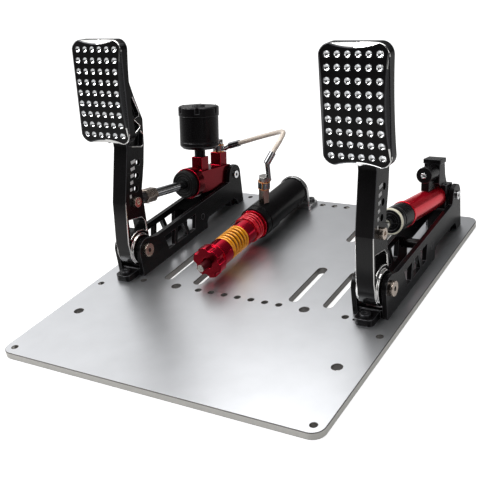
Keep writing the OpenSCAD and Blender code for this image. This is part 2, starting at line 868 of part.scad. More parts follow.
// Linkage pieces, drawn along Y with the clevis bolt at the origin
module rod_end(stud) {
    ring_neck = 7;
    color("#232327")
    difference() {
        union() {
            rod_x(eye_r, eye_w);
            translate([-eye_w / 2, 0, -neck_r]) cube([eye_w, rod_end_len - ring_neck, 2 * neck_r]);
            translate([0, rod_end_len - ring_neck, 0]) rod_y(neck_r, ring_neck);
            translate([0, rod_end_len, 0]) rod_y(stud_r, stud);
        }
        rod_x(clevis_r + eye_gap, eye_w + 1);
    }
}

module brake_lock_nut() {
    color("#9c7f66") translate([0, rod_end_len, 0]) rotate([-90, 0, 0])
    difference() {
        hex_bar(nut_af, lock_nut_len);
        translate([0, 0, -1]) cylinder(r = stud_r + run_gap, h = lock_nut_len + 2);
    }
}

module brake_pushrod() {
    start = rod_end_len + lock_nut_len;
    color("#c8cad0") translate([0, start, 0])
    difference() {
        rod_y(pushrod_r, brake_len - piston_front - start - rod_gap);
        translate([0, -1, 0]) rod_y(stud_r + run_gap, brake_stud_len - lock_nut_len + 2);
    }
}

// Master cylinder, drawn along Y with the rear pin at the origin
module master_piston() {
    groove_y = -piston_front + piston_len / 2;
    color("silver")
    difference() {
        translate([0, -piston_front, 0]) rod_y(master_bore_r - run_gap, piston_len);
        translate([0, groove_y, 0]) difference() {
            rod_y(master_bore_r + 1, 3);
            translate([0, -1, 0]) rod_y(master_bore_r - 2, 5);
        }
    }
}

module master_body() {
    collar_rear = master_front - collar_len_master;
    color("#b01226")
    difference() {
        union() {
            translate([0, -master_front, 0]) rod_y(master_collar_r, collar_len_master);
            translate([-master_w / 2, -collar_rear - 1, -master_h / 2])
                cube([master_w, collar_rear + 1 - rear_tower + tower_w / 2, master_h]);
            rod_x(lug_r, master_w);
            for (y = [front_tower, rear_tower]) {
                translate([-tower_w / 2, -y - tower_w / 2, 0]) cube([tower_w, tower_w, tower_top]);
            }
        }
        translate([0, -master_front - 1, 0]) rod_y(master_bore_r, master_front - bore_end + 1);
        for (y = [front_tower, rear_tower]) {
            translate([0, -y, tower_top - 13]) cylinder(r = tower_bore_r, h = 14);
        }
        translate([0, -front_tower, 0]) cylinder(r = 2, h = tower_top);
        translate([0, -rear_tower, 0]) cylinder(r = 2, h = tower_top);
        translate([0, -bore_end - 4, 0]) rod_y(2, bore_end - rear_tower + 5);
        rod_x(pin_r + run_gap, master_w + 1);
    }
}

module master_boot() {
    color("#1b1b1d")
    difference() {
        union() {
            translate([0, -master_front - boot_t, 0]) rod_y(boot_r, boot_t);
            translate([0, -master_front - boot_t + 2, 0]) rod_y(boot_r + 0.6, 2);
        }
        translate([0, -master_front - boot_t - 1, 0]) rod_y(pushrod_r + free_gap, boot_t + 2);
    }
}

module master_spring() {
    front = piston_front - piston_len - 0.3;
    color("silver") translate([0, -front, 0])
    difference() {
        rod_y(master_bore_r - 0.6, front - bore_end - 0.3);
        translate([0, -1, 0]) rod_y(master_bore_r - 2.6, front - bore_end + 2);
    }
}

module reservoir_body() {
    color("#17171a") translate([0, -front_tower, 0])
    difference() {
        union() {
            translate([0, 0, tower_top - 12]) cylinder(r = tower_bore_r - 0.02, h = 13);
            translate([0, 0, tower_top]) cylinder(r = 7.5, h = neck_top - tower_top + 1);
            translate([0, 0, reservoir_bottom]) cylinder(r1 = reservoir_r - 4, r2 = reservoir_r, h = 4);
            translate([0, 0, reservoir_bottom + 4]) cylinder(r = reservoir_r, h = reservoir_h - cap_h - 4);
            translate([0, 0, reservoir_top - cap_h])
                cylinder(r = reservoir_r - reservoir_wall, h = cap_h - 6);
        }
        translate([0, 0, reservoir_bottom + 5])
            cylinder(r = reservoir_r - 2 * reservoir_wall, h = reservoir_h);
        translate([0, 0, tower_top - 13]) cylinder(r = 2.5, h = 40);
        translate([0, 0, reservoir_bottom + 9]) difference() {
            cylinder(r = reservoir_r + 1, h = 1);
            cylinder(r = reservoir_r - 0.6, h = 1);
        }
    }
}

module reservoir_cap() {
    color("#101013") translate([0, -front_tower, reservoir_top - cap_h])
    difference() {
        union() {
            cylinder(r = reservoir_r + cap_lip, h = cap_h - 1.5);
            translate([0, 0, cap_h - 1.5])
                cylinder(r1 = reservoir_r + cap_lip, r2 = reservoir_r - 0.5, h = 1.5);
            translate([0, 0, cap_h]) cylinder(r = cap_disc_r, h = cap_disc_h);
        }
        translate([0, 0, -1]) cylinder(r = reservoir_r - reservoir_wall + run_gap, h = cap_h - 3);
        for (a = [0:60:300]) {
            rotate([0, 0, a]) translate([reservoir_r + cap_lip + 2.6, 0, 4]) cylinder(r = 4, h = cap_h);
        }
    }
}

module reservoir_diaphragm() {
    outer = reservoir_r - 2 * reservoir_wall - 0.3;
    hang = 19;
    color("#2b2b2b") translate([0, -front_tower, reservoir_top - 6 - hang])
    difference() {
        union() {
            cylinder(r = outer, h = hang);
            translate([0, 0, hang]) cylinder(r = reservoir_r - reservoir_wall - 0.5, h = 1.2);
        }
        translate([0, 0, 2]) cylinder(r = outer - 2, h = hang);
    }
}

module banjo_stack_bolt(bite) {
    difference() {
        union() {
            translate([0, 0, -bite]) cylinder(r = banjo_bolt_r, h = bite + 2 * washer_t + banjo_h);
            translate([0, 0, 2 * washer_t + banjo_h]) hex_bar(banjo_bolt_af, banjo_bolt_head_h);
        }
        translate([0, 0, -bite - 1]) cylinder(r = 1.6, h = bite + washer_t + banjo_h / 2 + 1);
    }
}

module banjo_washer() {
    difference() {
        cylinder(r = washer_r, h = washer_t);
        translate([0, 0, -1]) cylinder(r = banjo_bolt_r + 0.1, h = washer_t + 2);
    }
}

module banjo_eye() {
    difference() {
        cylinder(r = banjo_r, h = banjo_h);
        translate([0, 0, -1]) cylinder(r = banjo_bolt_r + 0.1, h = banjo_h + 2);
        translate([0, 0, banjo_h / 2 - 1]) difference() {
            cylinder(r = banjo_bolt_r + 1, h = 2);
            translate([0, 0, -1]) cylinder(r = banjo_bolt_r - 1, h = 4);
        }
    }
}

// Bent neck from a banjo eye to a ferrule
module hose_neck(eye, out, elbow, foot) {
    bar_between(eye + neck_start * out, elbow, neck_r_hose - 0.3);
    translate(elbow) sphere(r = neck_r_hose + 0.3);
    bar_between(elbow, foot, neck_r_hose);
}

module master_banjo_bolt() {
    color("#d4d6da") translate([0, -rear_tower, tower_top]) banjo_stack_bolt(11);
}

module master_washers() {
    color("#b87333") translate([0, -rear_tower, tower_top]) {
        banjo_washer();
        translate([0, 0, washer_t + banjo_h]) banjo_washer();
    }
}

module master_hose_end() {
    foot = hose_start - ferrule_len * start_direction;
    color("#cfd2d6") {
        hose_neck(master_eye, [1, 0, 0], master_eye + [neck_len, 0, 0], foot + 2 * start_direction);
        bar_between(foot, hose_start - hose_gap * start_direction, ferrule_r);
        on_brake_axis() translate([0, -rear_tower, tower_top + washer_t]) banjo_eye();
    }
}

// Throttle damper, drawn along Y with the rear pin at the origin
module damper_rod() {
    length = throttle_len - damper_rod_rear - rod_end_len;
    color("#c8cad0") translate([0, rod_end_len, 0])
    difference() {
        union() {
            rod_y(damper_rod_r, length);
            translate([0, length, 0]) rod_y(tube_bore_r - run_gap, damper_piston_len);
        }
        translate([0, -1, 0]) rod_y(stud_r + run_gap, throttle_stud_len + 2);
    }
}

module damper_gland() {
    color("#1c1c1f")
    difference() {
        union() {
            translate([0, -gland_front, 0]) rod_y(gland_r - ring_wall - 0.1, ring_t);
            translate([0, -gland_front + ring_t, 0]) rod_y(gland_r - 0.4, 8);
            translate([0, -gland_front + ring_t + 8, 0]) rod_y(gland_r - 1.8, 3);
            translate([0, -gland_front + ring_t + 11, 0]) rod_y(gland_r - 0.4, gland_len - ring_t - 11);
            translate([0, -gland_rear, 0]) rod_y(tube_bore_r - run_gap, 12);
        }
        translate([0, -gland_front - 1, 0]) rod_y(damper_rod_r + free_gap, gland_len + 20);
        translate([0, -gland_front - 1, 0]) rod_y(gland_r - 5, 2.5);
    }
}

module bumper_ring() {
    color("#e8e2c8") translate([0, -gland_front, 0])
    difference() {
        rod_y(gland_r, ring_t);
        translate([0, -1, 0]) rod_y(gland_r - ring_wall, ring_t + 2);
    }
}

module damper_tube() {
    color("#b01226")
    difference() {
        union() {
            translate([0, -tube_front, 0]) rod_y(rim_r, rim_len);
            translate([0, -tube_front + rim_len, 0]) rod_y(tube_r, tube_front - rim_len - tube_rear);
        }
        translate([0, -tube_front - 1, 0]) rod_y(tube_bore_r, tube_front - tube_rear - 5);
    }
}

module damper_spring() {
    front = damper_rod_rear - damper_piston_len - 0.3;
    rear = tube_rear + 6.5;
    color("silver") translate([0, -front, 0])
    difference() {
        rod_y(tube_bore_r - 0.5, front - rear);
        translate([0, -1, 0]) rod_y(tube_bore_r - 2.8, front - rear + 2);
    }
}

module damper_rear_block() {
    color("#1b1b1e")
    difference() {
        union() {
            rod_x(block_rear, block_w);
            translate([-block_w / 2, -block_front, -block_w / 2]) cube([block_w, block_front, block_w + 2]);
            along_x(mast_w) polygon([
                [-mast_front, tube_r + 6], [-mast_front, sensor_h + sensor_r],
                [-mast_rear, sensor_h + sensor_r], [-mast_rear + 4, sensor_h - 6],
                [-10, block_w / 2 + 4], [-10, 0], [-block_front, 0],
                [-block_front, tube_r + 2], [-mast_front + 6, tube_r + 2]
            ]);
        }
        translate([0, -mast_front - 1, 0]) rod_y(tube_r + 0.05, mast_front - tube_rear + 1);
        translate([-block_w / 2 - 1, -6, -block_w / 2 - 1])
            cube([block_w + 2, 20, block_w / 2 - block_rear + 1]);
        rod_x(pin_r + run_gap, block_w + 1);
        translate([0, -mast_front - 1, sensor_h]) rod_y(4, 12);
    }
}

module sensor_housing() {
    color("#18181b")
    difference() {
        union() {
            translate([0, -sensor_front, sensor_h]) rod_y(sensor_r, sensor_front - mast_front);
            along_x(10) polygon([
                [-sensor_front + 5, tube_r + 0.1], [-sensor_front + 5, sensor_h - sensor_r + 3],
                [-mast_front, sensor_h - sensor_r + 3], [-mast_front, tube_r + 0.1]
            ]);
        }
        translate([0, -sensor_front - 1, sensor_h]) rod_y(2 + run_gap, 9);
    }
}

module sensor_cap() {
    color("#161619")
    translate([-cap_w / 2, -(mast_front + mast_rear + cap_d) / 2, sensor_h + sensor_r])
        cube([cap_w, cap_d, sensor_cap_h]);
}

module sensor_screw() {
    color("#d8dade") translate([0, -sensor_front, sensor_h])
    rotate([90, 0, 0]) button_screw(3.4, 2.4, 2, 7);
}

// Pressure unit
module unit_body() {
    color("#1a1a1d")
    difference() {
        on_unit_axis(body_y) rod_y(body_r, body_len);
        on_unit_axis(body_y - 1) rod_y(unit_bore_r, body_len - 11);
        on_unit_axis(body_y) rod_y(thread_r + run_gap, body_len + 1);
    }
}

module unit_collar() {
    color("#141416")
    difference() {
        union() {
            on_unit_axis(collar_y) rod_y(collar_r, 9);
            on_unit_axis(collar_y + 9) rod_y(collar_r - 1.2, 2);
            on_unit_axis(collar_y + 11) rod_y(collar_r, collar_len - 11);
        }
        on_unit_axis(collar_y - 1) rod_y(guide_r + free_gap, 8);
        on_unit_axis(collar_y + 5) rod_y(unit_bore_r, collar_len);
        at_port() cylinder(r = tower_bore_r, h = 30);
        on_unit_axis(port_y) rotate([0, -90, 0]) cylinder(r = 2.5 + run_gap, h = 30);
    }
}

module unit_bracket() {
    foot_rear = bracket_y + bracket_foot_len;
    color("#c4c6ca")
    difference() {
        union() {
            on_unit_axis(bracket_y) rod_y(bracket_r, bracket_t);
            translate([-unit_x - bracket_r, bracket_y, plate_t]) cube([2 * bracket_r, bracket_t, unit_h]);
            translate([-unit_x, (bracket_y + foot_rear) / 2, plate_t]) linear_extrude(height = bracket_t)
                rounded_rectangle(bracket_w, foot_rear - bracket_y, 4);
        }
        on_unit_axis(bracket_y - 1) rod_y(thread_r + run_gap, bracket_t + 2);
        for (s = [-1, 1]) {
            translate([-unit_x + s * bracket_hole_x, bracket_hole_y, plate_t - 1])
                cylinder(r = screw_r + tap_gap, h = bracket_t + 2);
        }
    }
}

module threaded_rod() {
    color("#8d8a86") on_unit_axis(rod_tip_y) rod_y(thread_r, bracket_y + bracket_t - rod_tip_y);
}

module preload_knob() {
    color("#c0122a") on_unit_axis(knob_y)
    difference() {
        union() {
            rod_y(knob_r, knob_len);
            rod_y(stack_r - 3, knob_len + 0.7);
        }
        for (a = [0:360 / knob_grooves:359]) {
            rotate([0, a + 15, 0]) translate([0, -1, knob_r + 1.5]) rod_y(5, knob_len + 1.01);
        }
        translate([0, -1, 0]) rod_y(thread_r + 2.5, 6);
        translate([0, -1, 0]) rod_y(thread_r + run_gap, knob_len + 3);
    }
}

module front_sleeve() {
    color("#c0122a") on_unit_axis(sleeve_y)
    difference() {
        union() {
            rod_y(stack_r - 2, 4);
            translate([0, 4, 0]) rod_y(stack_r - 0.3, sleeve_len - 4);
        }
        translate([0, -1, 0]) rod_y(thread_r + run_gap, sleeve_len + 2);
    }
}

module front_spring() {
    color("#e8a417") on_unit_axis(front_spring_y) rotate([-90, 0, 0])
        wound_spring(front_spring_len, stack_r, front_wire_d, front_turns);
}

module spring_spacer() {
    color("#b01226") on_unit_axis(spacer_y)
    difference() {
        rod_y(stack_r - 0.3, spacer_len);
        translate([0, -1, 0]) rod_y(guide_r + run_gap, spacer_len + 2);
    }
}

module rear_spring() {
    color("#c0122a") on_unit_axis(rear_spring_y) rotate([-90, 0, 0])
        wound_spring(rear_spring_len, rear_spring_r, rear_wire_d, rear_turns);
}

module unit_piston() {
    head_y = collar_y + 14;
    head_len = 6;
    color("#b3132a")
    difference() {
        union() {
            on_unit_axis(guide_front_y) rod_y(guide_r, head_y + 1 - guide_front_y);
            on_unit_axis(flange_y) rod_y(collar_r - 1.6, flange_len);
            on_unit_axis(head_y) rod_y(unit_bore_r - run_gap, head_len);
        }
        on_unit_axis(guide_front_y - 1) rod_y(thread_r + free_gap, head_y + head_len + 2 - guide_front_y);
    }
}

module bleed_nipple() {
    color("#a8793f") on_unit_axis(port_y) rotate([0, -90, 0]) {
        difference() {
            union() {
                translate([0, 0, unit_bore_r + 1]) cylinder(r = 2.5, h = 16);
                translate([0, 0, collar_r]) hex_bar(9, 5);
                translate([0, 0, collar_r + 5]) cylinder(r1 = 3.4, r2 = 2.6, h = 6);
            }
            translate([0, 0, collar_r + 4]) cylinder(r = 1, h = 20);
        }
    }
}

module port_adaptor() {
    color("#5b5b60") at_port() difference() {
        union() {
            translate([0, 0, unit_bore_r + 1]) cylinder(r = tower_bore_r - 0.02, h = collar_r - unit_bore_r);
            translate([0, 0, collar_r]) hex_bar(adaptor_af, adaptor_top - collar_r);
        }
        translate([0, 0, adaptor_top - 13]) cylinder(r = banjo_bolt_r + 0.1, h = 14);
        cylinder(r = 1.6, h = adaptor_top);
    }
}

module port_washers() {
    color("#b87333") at_port() translate([0, 0, adaptor_top]) {
        banjo_washer();
        translate([0, 0, washer_t + banjo_h]) banjo_washer();
    }
}

module port_banjo_bolt() {
    color("#d4d6da") at_port() translate([0, 0, adaptor_top]) banjo_stack_bolt(12);
}

module port_hose_end() {
    foot = hose_end + ferrule_len * end_direction;
    color("#cfd2d6") {
        hose_neck(port_eye, [0, 1, 0], port_eye + [0, neck_len + 1, 0] + 2 * port_up,
            foot - 2 * end_direction);
        bar_between(hose_end + hose_gap * end_direction, foot, ferrule_r);
        at_port() translate([0, 0, adaptor_top + washer_t]) banjo_eye();
    }
}

// Free length of hose between the two ferrules
module hose() {
    color("#d9d6cf") swept_tube(hose_path, [for (p = hose_path) hose_bend_normal], hose_d / 2, 10);
}

echo(
    front_spring_gap = least_gap(front_spring_len, stack_r, front_wire_d, front_turns),
    rear_spring_gap = least_gap(rear_spring_len, rear_spring_r, rear_wire_d, rear_turns),
    hose_length = path_length(hose_path)
);

base_plate();
side_plate(-pedal_x - side_shift);  // brake_side_outer
side_plate(-pedal_x + side_shift);  // brake_side_inner
side_plate(pedal_x - side_shift);  // throttle_side_inner
side_plate(pedal_x + side_shift);  // throttle_side_outer
front_blocks();
rear_blocks();
cross_bars();
plate_screws();
pivot_shafts();
rear_pins();
at_brake() pedal_arm();  // brake_arm
at_brake() pad();  // brake_pad
at_brake() pad_screws();  // brake_pad_screws
at_brake() pivot_bushes();  // brake_pivot_bushes
at_brake() clevis_bolt();  // brake_clevis_bolt
at_throttle() pedal_arm();  // throttle_arm
at_throttle() pad();  // throttle_pad
at_throttle() pad_screws();  // throttle_pad_screws
at_throttle() pivot_bushes();  // throttle_pivot_bushes
at_throttle() clevis_bolt();  // throttle_clevis_bolt
on_brake_rod() rod_end(brake_stud_len);  // brake_rod_end
on_brake_rod() brake_lock_nut();
on_brake_rod() brake_pushrod();
on_brake_axis() master_piston();
on_brake_axis() master_body();
on_brake_axis() master_boot();
on_brake_axis() master_spring();
on_brake_axis() reservoir_body();
on_brake_axis() reservoir_cap();
on_brake_axis() reservoir_diaphragm();
on_brake_axis() master_banjo_bolt();
on_brake_axis() master_washers();
master_hose_end();
on_throttle_rod() rod_end(throttle_stud_len);  // throttle_rod_end
on_throttle_rod() damper_rod();
on_throttle_axis() damper_gland();
on_throttle_axis() bumper_ring();
on_throttle_axis() damper_tube();
on_throttle_axis() damper_spring();
on_throttle_axis() damper_rear_block();
on_throttle_axis() sensor_housing();
on_throttle_axis() sensor_cap();
on_throttle_axis() sensor_screw();
unit_body();
unit_collar();
unit_bracket();
threaded_rod();
preload_knob();
front_sleeve();
front_spring();
spring_spacer();
rear_spring();
unit_piston();
bleed_nipple();
port_adaptor();
port_washers();
port_banjo_bolt();
port_hose_end();
hose();
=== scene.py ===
"""Studio scene of a sim racing pedal set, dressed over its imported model.

Every sub-assembly is a class that makes its pieces and gives them their finishes.
"""

import json
import logging
import math
from collections.abc import Callable, Iterable, Sequence
from dataclasses import dataclass
from enum import Enum

import bpy
from mathutils import Matrix, Vector


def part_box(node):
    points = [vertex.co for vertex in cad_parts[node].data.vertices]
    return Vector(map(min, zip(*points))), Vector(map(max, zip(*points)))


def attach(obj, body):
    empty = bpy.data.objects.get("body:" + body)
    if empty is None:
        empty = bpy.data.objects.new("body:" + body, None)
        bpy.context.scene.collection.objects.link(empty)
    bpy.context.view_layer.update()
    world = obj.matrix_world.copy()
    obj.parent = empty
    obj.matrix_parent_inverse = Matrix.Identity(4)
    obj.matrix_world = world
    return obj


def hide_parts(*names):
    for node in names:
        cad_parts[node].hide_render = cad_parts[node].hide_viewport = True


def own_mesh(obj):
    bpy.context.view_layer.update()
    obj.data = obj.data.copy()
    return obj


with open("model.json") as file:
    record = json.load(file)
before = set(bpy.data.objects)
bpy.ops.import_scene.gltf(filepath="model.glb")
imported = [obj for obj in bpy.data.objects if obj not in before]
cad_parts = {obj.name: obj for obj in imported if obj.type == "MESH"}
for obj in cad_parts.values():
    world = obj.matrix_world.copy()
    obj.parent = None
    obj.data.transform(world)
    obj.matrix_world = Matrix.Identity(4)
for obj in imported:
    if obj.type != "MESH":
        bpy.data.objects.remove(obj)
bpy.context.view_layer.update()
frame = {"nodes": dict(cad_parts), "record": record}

LOG = logging.getLogger("pedal_set")
MM = 0.001
Colour = tuple[float, float, float]
Pair = tuple[float, float]
Point = tuple[float, float, float]
FaceTest = Callable[[list[Vector], Vector], bool]
EdgeRule = Callable[[Vector], float]
Piece = bpy.types.Object
Socket = bpy.types.NodeSocket
Feed = Socket | float | Iterable[float]
Feeds = dict[str | int, Feed]
WHITE = (1.0, 1.0, 1.0, 1.0)
UV_MAP = "along"

# The record's body of every node
BODY_OF = {
    node: body for body, nodes in frame["record"]["behaviour"]["bodies"].items() for node in nodes
}

# Places in metres and angles in degrees that several pieces share
BRAKE_PIVOT: Point = (-0.1635, -0.021, 0.039)
THROTTLE_PIVOT: Point = (0.1635, -0.021, 0.039)
BRAKE_PIN: Point = (-0.1635, 0.198, 0.054)
THROTTLE_PIN: Point = (0.1635, 0.198, 0.054)
BRAKE_TILT = 12.42
THROTTLE_TILT = 12.31

# How copies of the model's meshes are cleaned and shaded, in metres and degrees
MERGE_DISTANCE = 0.00001
FLAT_ANGLE = 0.6
SHARP_ANGLE = 32.0
SHADE_ANGLE = 40.0


# Finishes


class Grain(Enum):
    """The fine structure of a surface: scale of its noise along X, Y and Z, per metre."""

    BLASTED = (2600.0, 2600.0, 2600.0)
    BRUSHED_X = (60.0, 3200.0, 3200.0)
    TURNED = (260.0, 4200.0, 260.0)
    SATIN = (1700.0, 1700.0, 1700.0)
    MOULDED = (1100.0, 1100.0, 1100.0)
    RUBBERY = (700.0, 700.0, 700.0)


@dataclass(frozen=True)
class Graph:
    """Short ways to add and join the nodes of a material or a world.

    Attributes:
        tree: the node tree
    """

    tree: bpy.types.NodeTree

    def feed(self, node: bpy.types.Node, feeds: Feeds) -> None:
        """Links outputs to a node's inputs, or sets plain values on them.

        Args:
            node: the node that is fed
            feeds: an output or a value for each input
        """
        for name, value in feeds.items():
            if isinstance(value, Socket):
                self.tree.links.new(value, node.inputs[name])
            else:
                node.inputs[name].default_value = value

    def add(self, kind: str, feeds: Feeds | None = None, **settings: str) -> bpy.types.Node:
        """Adds a node.

        Args:
            kind: its type, without the words ShaderNode
            feeds: an output or a value for each of its inputs
            settings: its own settings, such as its operation

        Returns:
            The new node.
        """
        node = self.tree.nodes.new(f"ShaderNode{kind}")
        for name, value in settings.items():
            setattr(node, name, value)
        self.feed(node, feeds or {})
        return node

    def calculate(self, operation: str, *values: Feed) -> Socket:
        """Adds a calculation with the given inputs and returns its output."""
        return self.add("Math", dict(enumerate(values)), operation=operation).outputs["Value"]

    def ramp(self, share: Socket, stops: Sequence[tuple[float, Colour]]) -> Socket:
        """Adds a colour ramp.

        Args:
            share: the output that picks the colour
            stops: places and colours along the ramp, two or more

        Returns:
            The output with the colour.
        """
        node = self.add("ValToRGB", {"Fac": share})
        elements = node.color_ramp.elements
        elements[0].position, elements[1].position = stops[0][0], stops[-1][0]
        for position, _ in stops[1:-1]:
            elements.new(position)
        for element, (_, colour) in zip(elements, stops):
            element.color = (*colour, 1.0)
        return node.outputs["Color"]

    def relief(self, height: Socket, strength: float, depth: float) -> Socket:
        """Adds a bumpy relief with a depth in metres and returns the surface's normal."""
        feeds = {"Height": height, "Strength": strength, "Distance": depth}
        return self.add("Bump", feeds).outputs["Normal"]


@dataclass(frozen=True)
class Coating:
    """What all finishes share: a node material, made once.

    Attributes:
        name: last words of the material's name
    """

    name: str

    def material(self) -> bpy.types.Material:
        """Makes the material, or finds it if it is there.

        Returns:
            The material with this finish's name.
        """
        title = f"finish_{self.name}"
        made = bpy.data.materials.get(title)
        if made is None:
            made = bpy.data.materials.new(title)
            made.use_nodes = True
            graph = Graph(made.node_tree)
            graph.feed(made.node_tree.nodes["Principled BSDF"], self.feeds(graph))
        return made

    def feeds(self, graph: Graph) -> Feeds:
        """Adds this finish's nodes and returns what goes into the shader's inputs."""
        raise NotImplementedError


@dataclass(frozen=True)
class Finish(Coating):
    """A surface finish with grain, mottled colour and uneven gloss.

    Attributes:
        colour: base colour
        roughness: middle roughness
        metallic: metallic share
        grain: fine structure
        bump: height of the fine structure, in millimetres
        mottle: how much darker the patches of the colour are
        uneven: how far roughness strays from its middle
        coat: clear coat over the surface
        tilt: turn of the grain about X, in degrees
        specular: strength of the surface's mirror reflections
    """

    colour: Colour
    roughness: float
    metallic: float = 0.0
    grain: Grain = Grain.SATIN
    bump: float = 0.01
    mottle: float = 0.1
    uneven: float = 0.06
    coat: float = 0.0
    tilt: float = 0.0
    specular: float = 0.5

    def feeds(self, graph: Graph) -> Feeds:
        """Adds the patches of colour, the gloss and the fine relief.

        Args:
            graph: the material's nodes

        Returns:
            What goes into the shader's inputs.
        """
        place = graph.add("TexCoord").outputs["Object"]
        patches = graph.add("TexNoise", {"Vector": place, "Scale": 38.0, "Detail": 4.0})
        darker = tuple(c * (1.0 - self.mottle) for c in self.colour)
        stretch = {
            "Vector": place,
            "Rotation": (math.radians(self.tilt), 0.0, 0.0),
            "Scale": [1.0 / s for s in self.grain.value],
        }
        turned = graph.add("Mapping", stretch, vector_type="TEXTURE").outputs["Vector"]
        fine = graph.add("TexNoise", {"Vector": turned, "Scale": 1.0, "Detail": 3.0}).outputs["Fac"]
        spread = {
            "Value": fine,
            "From Min": 0.3,
            "From Max": 0.7,
            "To Min": max(0.03, self.roughness - self.uneven),
            "To Max": self.roughness + self.uneven,
        }
        return {
            "Base Color": graph.ramp(patches.outputs["Fac"], ((0.3, darker), (0.7, self.colour))),
            "Metallic": self.metallic,
            "Specular IOR Level": self.specular,
            "Coat Weight": self.coat,
            "Coat Roughness": 0.12,
            "Roughness": graph.add("MapRange", spread).outputs["Result"],
            "Normal": graph.relief(fine, 0.6, self.bump * MM),
        }


@dataclass(frozen=True)
class BraidFinish(Coating):
    """Fine steel braid under a clear cover, drawn on the hose's own UV map.

    Attributes:
        bright: colour of the strands
        dark: colour between the strands
        strands: strands round the hose
    """

    name: str = "braided_hose"
    bright: Colour = (0.82, 0.73, 0.63)
    dark: Colour = (0.5, 0.4, 0.33)
    strands: float = 14.0

    def feeds(self, graph: Graph) -> Feeds:
        """Adds two crossing sets of strands.

        Args:
            graph: the material's nodes

        Returns:
            What goes into the shader's inputs.
        """
        unwrapped = graph.add("UVMap", uv_map=UV_MAP).outputs["UV"]
        split = graph.add("SeparateXYZ", {"Vector": unwrapped}).outputs
        waves = []
        for operation in ("ADD", "SUBTRACT"):
            slant = graph.calculate(operation, split["X"], split["Y"])
            turns = graph.calculate("MULTIPLY", slant, 2.0 * math.pi * self.strands)
            waves.append(graph.calculate("SINE", turns))
        crossing = graph.calculate("MAXIMUM", *waves)
        return {
            "Base Color": graph.ramp(crossing, ((0.05, self.dark), (0.75, self.bright))),
            "Roughness": 0.32,
            "Coat Weight": 0.7,
            "Coat Roughness": 0.08,
            "Normal": graph.relief(crossing, 0.5, 0.12 * MM),
        }


BLASTED_SILVER = Finish(
    "blasted_silver", (0.62, 0.63, 0.65), 0.36, 1.0,
    grain=Grain.BLASTED, bump=0.03, mottle=0.05, uneven=0.05,
)
PLATE_EDGE = Finish("plate_edge", (0.8, 0.78, 0.74), 0.45, 0.1, grain=Grain.BRUSHED_X, mottle=0.05)
# Painted shade on the walls of the plate's holes and slots
PLATE_BORE_SHADE = Finish("plate_bore_painted_shade", (0.26, 0.25, 0.24), 0.35, 0.7)
EDGE_LINE = Finish("edge_line", (0.08, 0.075, 0.07), 0.4, 0.4, grain=Grain.BRUSHED_X)
BLACK_ANODISED = Finish(
    "black_anodised", (0.006, 0.0055, 0.006), 0.24,
    bump=0.012, mottle=0.25, uneven=0.05, specular=0.15,
)
BLACK_POLISHED = Finish(
    "black_polished", (0.009, 0.0085, 0.009), 0.18,
    bump=0.006, mottle=0.2, uneven=0.04, specular=0.35,
)
# Painted highlight: a lighter black on the broken edges of the black anodised parts
BLACK_EDGE_HIGHLIGHT = Finish("black_edge_painted_highlight", (0.07, 0.07, 0.075), 0.3, 0.6)
MACHINED_EDGE = Finish(
    "machined_edge", (0.93, 0.92, 0.9), 0.16, 1.0,
    grain=Grain.BRUSHED_X, bump=0.006, mottle=0.04, uneven=0.03,
)
RED_ANODISED = Finish(
    "red_anodised", (0.62, 0.006, 0.03), 0.2, 0.95, bump=0.012, mottle=0.12, uneven=0.05
)
# Painted shade: a darker copy of the red anodising, for the master body and the knob's front face
RED_PAINTED_SHADE = Finish("red_painted_shade", (0.17, 0.002, 0.008), 0.2, 0.95, bump=0.012, mottle=0.15, uneven=0.05)
RED_TURNED = Finish(
    "red_turned", (0.78, 0.01, 0.045), 0.14, 0.95, grain=Grain.TURNED, bump=0.008, uneven=0.05
)
RED_TUBE = Finish(
    "red_tube", (0.95, 0.006, 0.03), 0.2, 0.75,
    grain=Grain.TURNED, bump=0.006, mottle=0.08, uneven=0.05, tilt=-THROTTLE_TILT,
)
DARK_STEEL = Finish("dark_steel", (0.09, 0.09, 0.095), 0.3, 0.9, mottle=0.15)
BRIGHT_STEEL = Finish(
    "bright_steel", (0.7, 0.71, 0.73), 0.13, 1.0,
    grain=Grain.TURNED, bump=0.006, mottle=0.08, uneven=0.05, tilt=-BRAKE_TILT,
)
BRACKET_STEEL = Finish(
    "bracket_steel", (0.66, 0.66, 0.66), 0.26, 1.0, grain=Grain.BRUSHED_X, bump=0.008, mottle=0.08
)
ADAPTOR_STEEL = Finish("adaptor_steel", (0.34, 0.29, 0.25), 0.2, 1.0, mottle=0.15)
WARM_STEEL = Finish("warm_steel", (0.66, 0.56, 0.48), 0.24, 1.0, mottle=0.12)
ROD_STEEL = Finish("rod_steel", (0.4, 0.37, 0.33), 0.3, 1.0, grain=Grain.TURNED, mottle=0.2)
FERRULE_STEEL = Finish(
    "ferrule_steel", (0.3, 0.3, 0.31), 0.15, 1.0, bump=0.006, mottle=0.12, uneven=0.04
)
BOLT_STEEL = Finish("bolt_steel", (0.45, 0.43, 0.41), 0.12, 1.0, bump=0.006, uneven=0.04)
